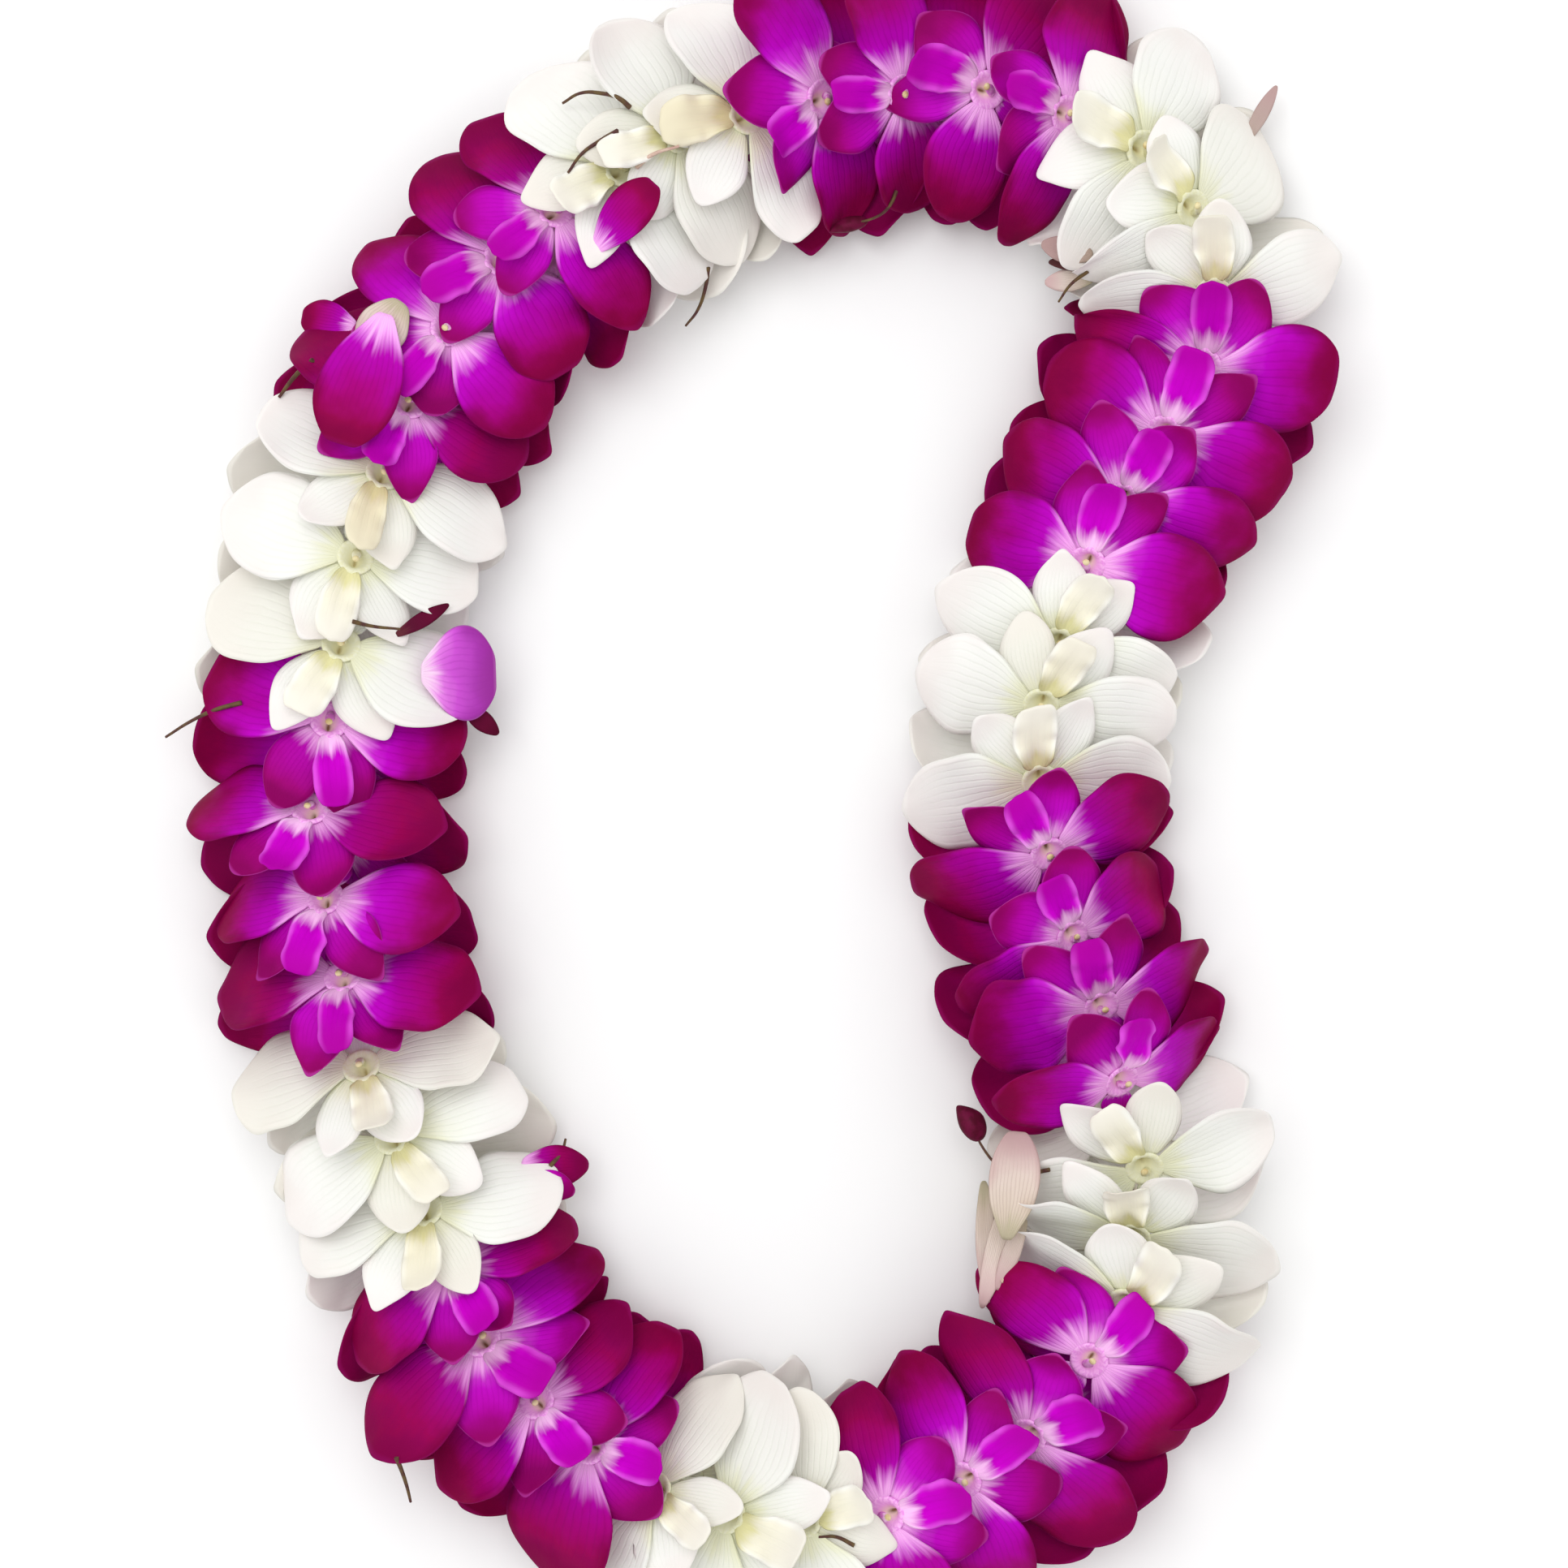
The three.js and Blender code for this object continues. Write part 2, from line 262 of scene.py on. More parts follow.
def select_vertices(piece, wanted):
    """In edit mode: selects exactly the vertices whose place passes the test"""
    mesh = bmesh.from_edit_mesh(piece.data)
    for vertex in mesh.verts:
        vertex.select = bool(wanted(vertex.co))
    mesh.select_flush_mode()
    bmesh.update_edit_mesh(piece.data)


def apply_modifier(piece, kind, **settings):
    make_active(piece)
    modifier = piece.modifiers.new(kind.lower(), kind)
    set_all(modifier, settings)
    bpy.ops.object.modifier_apply(modifier=modifier.name)


def places_of(piece):
    places = np.empty(len(piece.data.vertices) * 3)
    piece.data.vertices.foreach_get("co", places)
    return places.reshape(-1, 3)


def set_places(piece, places):
    piece.data.vertices.foreach_set("co", np.ascontiguousarray(places).ravel())
    piece.data.update()


def start_from(primitive_add, **settings):
    """Adds a primitive with nothing else selected, and selects all of it in edit mode"""
    deselect_everything()
    primitive_add(**settings)
    bpy.ops.object.mode_set(mode="EDIT")
    bpy.ops.mesh.select_all(action="SELECT")
    return bpy.context.object


def give_material(piece, material):
    """The one material of a piece, shaded smooth"""
    piece.data.materials.clear()
    piece.data.materials.append(material)
    piece.data.polygons.foreach_set("use_smooth", [True] * len(piece.data.polygons))


def new_curve(name, kind, dimensions="3D"):
    """An empty curve and its one line"""
    curve = bpy.data.curves.new(name, "CURVE")
    curve.dimensions = dimensions
    return curve, curve.splines.new(kind)


def mesh_from_curve(curve, material):
    """The curve's surface as a mesh"""
    make_active(in_scene(curve.name, curve))
    bpy.ops.object.convert(target="MESH")
    give_material(bpy.context.object, material)
    return bpy.context.object


def rename(piece, name):
    piece.name = name
    piece.data.name = name


def join_pieces(name, pieces):
    deselect_everything()
    for piece in pieces:
        piece.select_set(True)
    bpy.context.view_layer.objects.active = pieces[0]
    bpy.ops.object.join()
    rename(bpy.context.object, name)
    return bpy.context.object


# The thread's closed line, a centripetal curve through its points
class Route:
    STEPS = 1200
    NUDGE = 0.0001

    def __init__(self, points):
        self.points = points
        self.shares = np.linspace(0, 1, self.STEPS + 1)
        gaps = np.diff(self.place(self.shares), axis=0)
        self.lengths = np.concatenate([[0.0], np.cumsum(np.linalg.norm(gaps, axis=1))])
        self.length = self.lengths[-1]

    def place(self, share):
        count = len(self.points)
        at = np.asarray(share) * count
        first = np.floor(at).astype(int)
        t = (at - first)[:, None]
        p0, p1, p2, p3 = (self.points[(first + k) % count] for k in (-1, 0, 1, 2))

        def knot_gap(a, b):
            return np.sqrt(np.linalg.norm(b - a, axis=1))[:, None]

        d0, d1, d2 = knot_gap(p0, p1), knot_gap(p1, p2), knot_gap(p2, p3)
        start = ((p1 - p0) / d0 - (p2 - p0) / (d0 + d1) + (p2 - p1) / d1) * d1
        end = ((p2 - p1) / d1 - (p3 - p1) / (d1 + d2) + (p3 - p2) / d2) * d1
        square = 3 * (p2 - p1) - 2 * start - end
        cube = 2 * (p1 - p2) + start + end
        return p1 + start * t + square * t**2 + cube * t**3

    def along(self, distance):
        """Points at thread height and unit directions at distances from the route's start"""
        inside = np.mod(np.atleast_1d(distance) / self.length, 1.0) * self.length
        share = np.interp(inside, self.lengths, self.shares)
        before = self.place(np.maximum(share - self.NUDGE, 0))
        after = self.place(np.minimum(share + self.NUDGE, 1))
        forward = after - before
        forward /= np.linalg.norm(forward, axis=1)[:, None]
        level = np.full((len(share), 1), THREAD_HEIGHT)
        flat = np.zeros((len(share), 1))
        return np.hstack([self.place(share), level]), np.hstack([forward, flat])

    def bend_at(self, distance):
        """One over the bend's radius, more than 0 to the left"""
        before = self.along(distance - BEND_REACH)[1][0]
        after = self.along(distance + BEND_REACH)[1][0]
        return np.cross(before, after)[2] / (2 * BEND_REACH)


route = Route(ROUTE_POINTS)


def bent_round(distance, bend, straight):
    """Takes points given as if the thread were straight to where the bent thread brings them"""
    spread = np.maximum(1, 1 - bend * straight[:, 1])
    point, forward = route.along(distance + straight[:, 0] / spread)
    left = np.cross(UP, forward)
    point = point + left * straight[:, 1:2]
    point[:, 2] += straight[:, 2]
    low = point[:, 2] < PRESSED_BELOW
    point[low, 2] = PRESSED_BELOW - (PRESSED_BELOW - point[low, 2]) * PRESSED_SHARE
    return point


# A seeded row of numbers between -1 and 1, which settles the blooms' places and sizes
class Draws:
    def __init__(self, seed):
        self.state = seed

    def vary(self, amount):
        self.state = (self.state * 1664525 + 1013904223) % 4294967296
        return amount * ((self.state / 4294967296) * 2 - 1)


draws = Draws(59)
# A second one for what only shows close up: folds, curls and tints
looks = random.Random(16)


# Material tools
def set_inputs(tree, node, inputs):
    """Links or sets a node's inputs, with colours as they look on a screen, and gives its outputs"""
    for name, value in inputs.items():
        if isinstance(value, bpy.types.NodeSocket):
            tree.links.new(value, node.inputs[name])
        elif node.inputs[name].type == "RGBA":
            node.inputs[name].default_value = srgb(*value)
        else:
            node.inputs[name].default_value = value
    return node.outputs


def add_node(tree, kind, settings, inputs):
    node = tree.nodes.new(kind)
    set_all(node, settings)
    return set_inputs(tree, node, inputs)


def calculate(tree, operation, first, second=0.5, clamp=False):
    settings = {"operation": operation, "use_clamp": clamp}
    return add_node(tree, "ShaderNodeMath", settings, {0: first, 1: second})[0]


def times(tree, first, second):
    return calculate(tree, "MULTIPLY", first, second)


def centred(tree, value, spread):
    """A value between 0 and 1 made one round 0, as wide as the spread"""
    return times(tree, calculate(tree, "SUBTRACT", value, 0.5), spread)


def split(tree, vector):
    return add_node(tree, "ShaderNodeSeparateXYZ", {}, {0: vector})


def mix_colours(tree, share, first, second):
    return add_node(tree, "ShaderNodeMix", {"data_type": "RGBA"}, {0: share, 6: first, 7: second})[2]


def map_range(tree, value, low, high, to_low=0.0, to_high=1.0):
    settings = {"interpolation_type": "SMOOTHSTEP"}
    inputs = {"Value": value, "From Min": low, "From Max": high, "To Min": to_low, "To Max": to_high}
    return add_node(tree, "ShaderNodeMapRange", settings, inputs)[0]


def add_noise(tree, vector, scale, detail, own=None):
    """Soft noise between 0 and 1, which a piece's own number, if one is given, makes its own"""
    settings = {"noise_dimensions": "3D" if own is None else "4D"}
    inputs = {"Vector": vector, "Scale": scale, "Detail": detail}
    if own is not None:
        inputs["W"] = own
    return add_node(tree, "ShaderNodeTexNoise", settings, inputs)[0]


def ramp(tree, value, stops):
    """A colour ramp through (position, colour) stops"""
    node = tree.nodes.new("ShaderNodeValToRGB")
    elements = node.color_ramp.elements
    for index, (position, colour) in enumerate(stops):
        element = elements[index] if index < 2 else elements.new(position)
        element.position = position
        element.color = srgb(*colour)
    return set_inputs(tree, node, {"Fac": value})["Color"]


def new_group(name, inputs, outputs):
    """An empty group of nodes: its inputs are plain numbers, or a vector where no number is given"""
    group = bpy.data.node_groups.new(name, "ShaderNodeTree")
    for socket, value in inputs.items():
        kind = "NodeSocketVector" if value is None else "NodeSocketFloat"
        made = group.interface.new_socket(name=socket, in_out="INPUT", socket_type=kind)
        if value is not None:
            made.default_value = value
    for socket in outputs:
        group.interface.new_socket(name=socket, in_out="OUTPUT", socket_type="NodeSocketFloat")
    return group, group.nodes.new("NodeGroupInput").outputs, group.nodes.new("NodeGroupOutput").inputs


def place_group(tree, group, inputs):
    return add_node(tree, "ShaderNodeGroup", {"node_tree": group}, inputs)


def from_middle(tree, across):
    """How far a point is from a blade's midrib: 0 there, a half at either edge"""
    return calculate(tree, "ABSOLUTE", calculate(tree, "SUBTRACT", across, 0.5))


def make_vein_group():
    """Fine lines that run from a blade's root to its tip and fan out with it"""
    inputs = {"Map": None, "Count": VEIN_COUNT, "Wander": 0.07, "Shade": 0.0}
    group, given, out = new_group("veins", inputs, ["Line", "Height"])
    along, across, _ = split(group, given["Map"])
    noise = add_noise(group, given["Map"], 4.0, 3.0, given["Shade"])
    across = calculate(group, "ADD", across, centred(group, noise, given["Wander"]))
    wave = calculate(group, "PINGPONG", times(group, across, given["Count"]), 0.5)
    fading = map_range(group, along, 0.45, 0.95, 1.0, 0.1)
    line = times(group, map_range(group, wave, 0.0, 0.22, 1.0, 0.0), fading)
    group.links.new(line, out["Line"])
    group.links.new(times(group, line, -1.0), out["Height"])
    return group


def make_margin_group():
    """How near a point is to a blade's margin: 0 inside, 1 at the edge, and the thin line along the very edge
    where a painted highlight goes
    """
    group, given, out = new_group("margin", {"Map": None, "Width": 0.3, "Uneven": 0.0}, ["Edge", "Lit Rim"])
    along, across, _ = split(group, given["Map"])
    side = times(group, from_middle(group, across), 2.0)
    inner = times(group, side, map_range(group, along, 0.15, 0.65, 0.2, 1.0))
    reach = calculate(group, "ADD", calculate(group, "MAXIMUM", inner, along), given["Uneven"])
    start = calculate(group, "SUBTRACT", 1.0, given["Width"])
    group.links.new(map_range(group, reach, start, 1.0), out["Edge"])
    group.links.new(map_range(group, calculate(group, "MAXIMUM", side, along), 0.955, 0.995), out["Lit Rim"])
    return group


def make_root_group():
    """The pale star round a throat: rays that run out along a blade from its root"""
    inputs = {"Map": None, "Shade": 0.0, "Start": 0.04, "End": 0.30}
    group, given, out = new_group("root", inputs, ["Pale"])
    stretched = add_node(group, "ShaderNodeVectorMath", {"operation": "MULTIPLY"},
                         {0: given["Map"], 1: (1.5, 9.0, 1.0)})[0]
    ray = centred(group, add_noise(group, stretched, 1.0, 3.0, given["Shade"]), 0.45)
    reach = calculate(group, "SUBTRACT", split(group, given["Map"])[0], ray)
    group.links.new(map_range(group, reach, given["Start"], given["End"], 1.0, 0.0), out["Pale"])
    return group


def make_skin_group():
    """Soft blotches and a fine grain of cells, both in the object's own space"""
    group, given, out = new_group("skin", {"Blotch Scale": 90.0, "Grain Scale": 2600.0}, ["Blotch", "Grain"])
    space = group.nodes.new("ShaderNodeTexCoord").outputs["Object"]
    group.links.new(add_noise(group, space, given["Blotch Scale"], 3.0), out["Blotch"])
    group.links.new(add_noise(group, space, given["Grain Scale"], 2.0), out["Grain"])
    return group


VEINS = make_vein_group()
MARGIN = make_margin_group()
ROOT = make_root_group()
SKIN = make_skin_group()


def set_shader(material, inputs):
    set_inputs(material.node_tree, material.node_tree.nodes["Principled BSDF"], inputs)


def new_material(name, roughness, specular):
    material = bpy.data.materials.new(name)
    material.use_nodes = True
    set_shader(material, {"Roughness": roughness, "Specular IOR Level": specular})
    return material, material.node_tree


def read_map(tree):
    return add_node(tree, "ShaderNodeUVMap", {"uv_map": "UVMap"}, {})[0]


def read_attribute(tree, name, output):
    return add_node(tree, "ShaderNodeAttribute", {"attribute_name": name}, {})[output]


def add_surface(material, colour, coarse, coarse_depth, fine, fine_depth=GRAIN_DEPTH):
    """Gives a material its colour and two bumps, one over the other"""
    below = {}
    for height, depth in ((coarse, coarse_depth), (fine, fine_depth)):
        bump = {"Height": height, "Strength": 1.0, "Distance": depth, **below}
        below = {"Normal": add_node(material.node_tree, "ShaderNodeBump", {}, bump)[0]}
    set_shader(material, {"Base Color": colour, **below})
    return material


def blade_material(name, stops, edge, edge_share, rim, root, vein, vein_share, tint, tint_share, aged_and_shaded,
                   aged_and_shaded_share, roughness, specular):
    """A petal or sepal: a pale star at its root, colour from there to its tip, margin with a painted
    highlight on its edge, veins and blotches
    """
    material, tree = new_material(name, roughness, specular)
    shape = read_map(tree)
    shade = read_attribute(tree, "shade", "Fac")
    skin = place_group(tree, SKIN, {})
    uneven = centred(tree, skin["Blotch"], 0.5)
    margin = place_group(tree, MARGIN, {"Map": shape, "Width": 0.42, "Uneven": uneven})
    lines = place_group(tree, VEINS, {"Map": shape, "Shade": shade})
    star = place_group(tree, ROOT, {"Map": shape, "Shade": shade})
    reach = calculate(tree, "ADD", split(tree, shape)[0], uneven)
    # The shade moves the colour along the ramp: at random for tone, and further towards the dark tip on the
    # lower row's lobes as painted shade
    reach = calculate(tree, "ADD", reach, centred(tree, shade, 0.44), clamp=True)
    colour = ramp(tree, reach, stops)
    # The rim colour is a painted highlight along the very edge, where light shines through the thin margin
    for mask, share, over in (
        (skin["Blotch"], tint_share, tint), (margin["Edge"], edge_share, edge),
        (margin["Lit Rim"], 0.5, rim), (lines["Line"], vein_share, vein),
    ):
        colour = mix_colours(tree, times(tree, mask, share), colour, over)
    colour = mix_colours(tree, star["Pale"], colour, root)
    # The aged colour: real fading at random, and painted shade on the lower row's lobes
    colour = mix_colours(tree, map_range(tree, shade, 0.5, 1.0, 0.0, aged_and_shaded_share), colour, aged_and_shaded)
    rough = map_range(tree, skin["Blotch"], 0.2, 0.8, roughness - 0.08, roughness + 0.08)
    set_shader(material, {"Roughness": rough})
    return add_surface(material, colour, lines["Height"], VEIN_DEPTH, skin["Grain"])


def lip_material(name, middle, rim, root, tip, aged_and_shaded, aged_and_shaded_share, roughness, specular):
    """A lip: strong colour down the middle, pale folded margins and a pale root"""
    material, tree = new_material(name, roughness, specular)
    shape = read_map(tree)
    shade = read_attribute(tree, "shade", "Fac")
    skin = place_group(tree, SKIN, {})
    along, across, _ = split(tree, shape)
    side = calculate(tree, "ADD", from_middle(tree, across), centred(tree, skin["Blotch"], 0.16))
    folded = times(tree, map_range(tree, side, 0.30, 0.48), map_range(tree, along, 0.70, 1.0, 0.9, 0.1))
    lines = place_group(tree, VEINS, {"Map": shape, "Count": LIP_VEIN_COUNT, "Shade": shade})
    star = place_group(tree, ROOT, {"Map": shape, "Start": 0.10, "End": 0.34})
    colour = mix_colours(tree, map_range(tree, along, 0.35, 1.0), middle, tip)
    colour = mix_colours(tree, folded, colour, rim)
    colour = mix_colours(tree, times(tree, lines["Line"], 0.15), colour, tip)
    colour = mix_colours(tree, star["Pale"], colour, root)
    # The aged colour: real fading at random, and painted shade on the lower row's lobes
    colour = mix_colours(tree, map_range(tree, shade, 0.4, 1.0, 0.0, aged_and_shaded_share), colour, aged_and_shaded)
    return add_surface(material, colour, lines["Height"], LIP_VEIN_DEPTH, skin["Grain"])


def throat_material(name, rim, spoke, bowl, deep_painted_shade, outside, roughness, specular):
    """A throat: pale rim with coloured spokes, a greenish bowl with painted shade at its bottom, a plain neck
    """
    material, tree = new_material(name, roughness, specular)
    x, y, z = split(tree, read_attribute(tree, "local", "Vector"))
    flat = add_node(tree, "ShaderNodeCombineXYZ", {}, {0: x, 1: y})[0]
    radius = add_node(tree, "ShaderNodeVectorMath", {"operation": "LENGTH"}, {0: flat})["Value"]
    radius = calculate(tree, "DIVIDE", radius, THROAT_RADIUS)
    skin = place_group(tree, SKIN, {"Blotch Scale": 700.0})
    turn = calculate(tree, "DIVIDE", calculate(tree, "ARCTAN2", y, x), 2 * math.pi)
    turn = calculate(tree, "ADD", turn, times(tree, skin["Blotch"], 0.16))
    wave = calculate(tree, "PINGPONG", times(tree, turn, SPOKE_COUNT), 0.5)
    spokes = times(tree, map_range(tree, wave, 0.0, 0.45, 0.6, 0.0), map_range(tree, radius, 0.5, 1.1))
    below = calculate(tree, "SUBTRACT", THROAT_HEIGHT, calculate(tree, "ABSOLUTE", z))
    wall = times(tree, map_range(tree, below, 0.0008, 0.0020), calculate(tree, "GREATER_THAN", radius, 0.6))
    colour = mix_colours(tree, map_range(tree, radius, 0.35, 0.75), bowl, rim)
    colour = mix_colours(tree, spokes, colour, spoke)
    # Painted shade at the bottom of the bowl
    colour = mix_colours(tree, map_range(tree, radius, 0.10, 0.42, 1.0, 0.0), colour, deep_painted_shade)
    colour = mix_colours(tree, wall, colour, outside)
    return add_surface(material, colour, skin["Blotch"], THROAT_BLOTCH_DEPTH, skin["Grain"])


def plain_material(name, base, blotch, roughness, specular, blotch_scale=400.0):
    """A fleshy or fibrous surface of two colours in soft blotches"""
    material, tree = new_material(name, roughness, specular)
    skin = place_group(tree, SKIN, {"Blotch Scale": blotch_scale})
    colour = mix_colours(tree, map_range(tree, skin["Blotch"], 0.35, 0.65), base, blotch)
    return add_surface(material, colour, skin["Blotch"], BLOTCH_DEPTH, skin["Grain"], COARSE_GRAIN_DEPTH)


# In the blades, rim is a painted highlight along the very edge; in blades and lips, the aged colour also
# paints shade on the lower row's lobes
PURPLE_PETAL = blade_material(
    "purple_petal",
    stops=[(0.0, (216, 52, 222)), (0.20, (188, 4, 194)), (0.40, (170, 0, 156)),
           (0.60, (160, 0, 108)), (0.80, (148, 0, 52)), (1.0, (132, 0, 42))],
    edge=(116, 0, 48), edge_share=0.75, rim=(144, 14, 94), root=(255, 184, 250),
    vein=(112, 0, 80), vein_share=0.14, tint=(186, 6, 184), tint_share=0.24,
    aged_and_shaded=(120, 0, 96), aged_and_shaded_share=0.15, roughness=0.6, specular=0.04,
)
PURPLE_SEPAL = blade_material(
    "purple_sepal",
    stops=[(0.0, (226, 78, 228)), (0.3, (196, 10, 196)), (0.60, (176, 0, 156)),
           (0.84, (156, 0, 104)), (1.0, (128, 0, 66))],
    edge=(130, 0, 78), edge_share=0.6, rim=(206, 70, 186), root=(255, 192, 250),
    vein=(130, 0, 116), vein_share=0.14, tint=(194, 16, 198), tint_share=0.22,
    aged_and_shaded=(140, 0, 110), aged_and_shaded_share=0.15, roughness=0.6, specular=0.04,
)
WHITE_PETAL = blade_material(
    "white_petal",
    stops=[(0.0, (240, 241, 224)), (0.16, (243, 244, 236)), (0.42, (244, 244, 240)),
           (0.75, (244, 243, 240)), (1.0, (240, 236, 233))],
    edge=(242, 234, 231), edge_share=0.6, rim=(248, 246, 242), root=(235, 236, 206),
    vein=(224, 228, 216), vein_share=0.22, tint=(232, 234, 227), tint_share=0.34,
    aged_and_shaded=(230, 228, 212), aged_and_shaded_share=0.5, roughness=0.65, specular=0.08,
)
# Loose lobes: one seen from its paler reverse, faded ones and dried ones
LILAC_PETAL = blade_material(
    "lilac_petal",
    stops=[(0.0, (238, 142, 236)), (0.30, (200, 72, 206)), (0.6, (164, 38, 170)),
           (1.0, (136, 12, 126))],
    edge=(150, 40, 150), edge_share=0.55, rim=(196, 112, 190), root=(250, 214, 244),
    vein=(150, 40, 160), vein_share=0.2, tint=(224, 130, 228), tint_share=0.3,
    aged_and_shaded=(170, 60, 150), aged_and_shaded_share=0.2, roughness=0.65, specular=0.04,
)
FADED_PETAL = blade_material(
    "faded_petal",
    stops=[(0.0, (208, 190, 170)), (0.5, (224, 206, 196)), (1.0, (216, 176, 184))],
    edge=(196, 160, 158), edge_share=0.5, rim=(204, 178, 168), root=(194, 184, 156),
    vein=(182, 158, 148), vein_share=0.3, tint=(228, 218, 206), tint_share=0.4,
    aged_and_shaded=(166, 138, 132), aged_and_shaded_share=0.7, roughness=0.7, specular=0.05,
)
DRIED_PETAL = blade_material(
    "dried_petal",
    stops=[(0.0, (84, 24, 46)), (0.5, (98, 8, 46)), (1.0, (86, 2, 32))],
    edge=(64, 6, 30), edge_share=0.6, rim=(96, 30, 50), root=(110, 50, 60),
    vein=(60, 4, 28), vein_share=0.3, tint=(110, 22, 66), tint_share=0.4,
    aged_and_shaded=(92, 66, 60), aged_and_shaded_share=0.6, roughness=0.65, specular=0.05,
)
PURPLE_LIP = lip_material(
    "purple_lip", middle=(202, 0, 202), rim=(226, 84, 226), root=(255, 204, 250),
    tip=(178, 0, 164), aged_and_shaded=(150, 0, 120), aged_and_shaded_share=0.25, roughness=0.6, specular=0.04,
)
WHITE_LIP = lip_material(
    "white_lip", middle=(242, 238, 218), rim=(246, 245, 238), root=(228, 224, 172),
    tip=(240, 236, 224), aged_and_shaded=(222, 208, 158), aged_and_shaded_share=0.6, roughness=0.65, specular=0.06,
)
# The darkest colour of each throat is painted shade at the bottom of its bowl
PURPLE_THROAT = throat_material(
    "purple_throat", rim=(255, 192, 248), spoke=(226, 120, 222), bowl=(246, 226, 214),
    deep_painted_shade=(136, 104, 76), outside=(214, 150, 196), roughness=0.5, specular=0.1,
)
WHITE_THROAT = throat_material(
    "white_throat", rim=(238, 238, 212), spoke=(228, 227, 182), bowl=(236, 232, 194),
    deep_painted_shade=(186, 172, 122), outside=(232, 232, 212), roughness=0.5, specular=0.1,
)
PINK_COLUMN = plain_material("pink_column", (250, 206, 240), (222, 120, 210), 0.45, 0.25)
CREAM_COLUMN = plain_material("cream_column", (240, 238, 212), (226, 221, 176), 0.45, 0.25)
ANTHER = plain_material("anther", (234, 222, 176), (206, 182, 124), roughness=0.45, specular=0.3)
STALK = plain_material("stalk", (84, 50, 50), (104, 84, 52), roughness=0.6, specular=0.2)
PALE_STALK = plain_material("pale_stalk", (216, 192, 174), (196, 160, 148), roughness=0.6,
                            specular=0.25)
BUD = plain_material("bud", (104, 12, 54), (82, 8, 36), roughness=0.55, specular=0.1)
THREAD = plain_material("thread", (238, 232, 216), (218, 208, 186), roughness=0.85, specular=0.15,
                        blotch_scale=1500.0)


# Masters, each modelled once
def model_blade(lobe, material):
    """A flat blade with its root at x = 0: a grid drawn in row by row, then smoothed and thickened"""
    rows = len(lobe["widths"]) - 1
    blade = start_from(bpy.ops.mesh.primitive_grid_add, x_subdivisions=rows, y_subdivisions=lobe["columns"],
                       size=2)
    bpy.ops.transform.translate(value=(1, 0, 0))
    bpy.ops.transform.resize(value=(lobe["length"] / 2, lobe["half_width"], 1), center_override=(0, 0, 0))
    for row, width in enumerate(lobe["widths"]):
        at = row / rows * lobe["length"]
        select_vertices(blade, lambda place: abs(place.x - at) < lobe["length"] * 0.01)
        bpy.ops.transform.resize(value=(1, width, 1), center_override=(at, 0, 0))
    bpy.ops.object.mode_set(mode="OBJECT")
    apply_modifier(blade, "SUBSURF", levels=2, render_levels=2)
    thin_at_rim(blade)
    apply_modifier(blade, "SOLIDIFY", thickness=BLADE_THICKNESS, offset=0, vertex_group="body",
                   thickness_vertex_group=RIM_SHARE)
    blade.vertex_groups.clear()
    give_material(blade, material)
    return put_away(blade)


def thin_at_rim(blade):
    """A vertex group that is full inside the blade and empty along its open edge"""
    mesh = bmesh.new()
    mesh.from_mesh(blade.data)
    inner = [vertex.index for vertex in mesh.verts if not vertex.is_boundary]
    mesh.free()
    blade.vertex_groups.new(name="body").add(inner, 1.0, "REPLACE")


def put_away(master):
    """Takes a master out of the scene and keeps only its mesh"""
    mesh = master.data
    bpy.data.objects.remove(master)
    return mesh


def model_column(material, cap_material):
    """The short column that leans over the lip's root, with its cap at the tip"""
    column = start_from(bpy.ops.mesh.primitive_uv_sphere_add, segments=12, ring_count=10)
    bpy.ops.transform.resize(value=(*COLUMN_RADII, COLUMN_LENGTH * COLUMN_HALF))
    bpy.ops.transform.translate(value=(0, COLUMN_FOOT, COLUMN_LENGTH * COLUMN_MIDDLE))
    for level in COLUMN_BENDS:
        select_vertices(column, lambda place: place.z > COLUMN_LENGTH * level)
        bpy.ops.transform.translate(value=(0, -COLUMN_LEAN, 0))
    select_vertices(column, lambda place: place.z > COLUMN_LENGTH * HEAD_FROM)
    bpy.ops.transform.resize(value=HEAD_SCALE, center_override=(0, COLUMN_TIP, 0))
    bpy.ops.object.mode_set(mode="OBJECT")
    give_material(column, material)
    cap = start_from(bpy.ops.mesh.primitive_uv_sphere_add, segments=10, ring_count=6)
    bpy.ops.transform.resize(value=CAP_RADII)
    bpy.ops.transform.translate(value=(0, COLUMN_TIP, COLUMN_LENGTH * CAP_AT))
    bpy.ops.object.mode_set(mode="OBJECT")
    give_material(cap, cap_material)
    return put_away(join_pieces("column", [column, cap]))


# The throat from its outside in: each ring's radius and its height over the throat's plane
THROAT_RINGS = [(0.0051, 0.0003), (0.0049, 0.0007), (0.0042, 0.0008), (0.0034, 0.0004), (0.0026, -0.0005),
                (0.0017, -0.0017), (0.0008, -0.0026)]


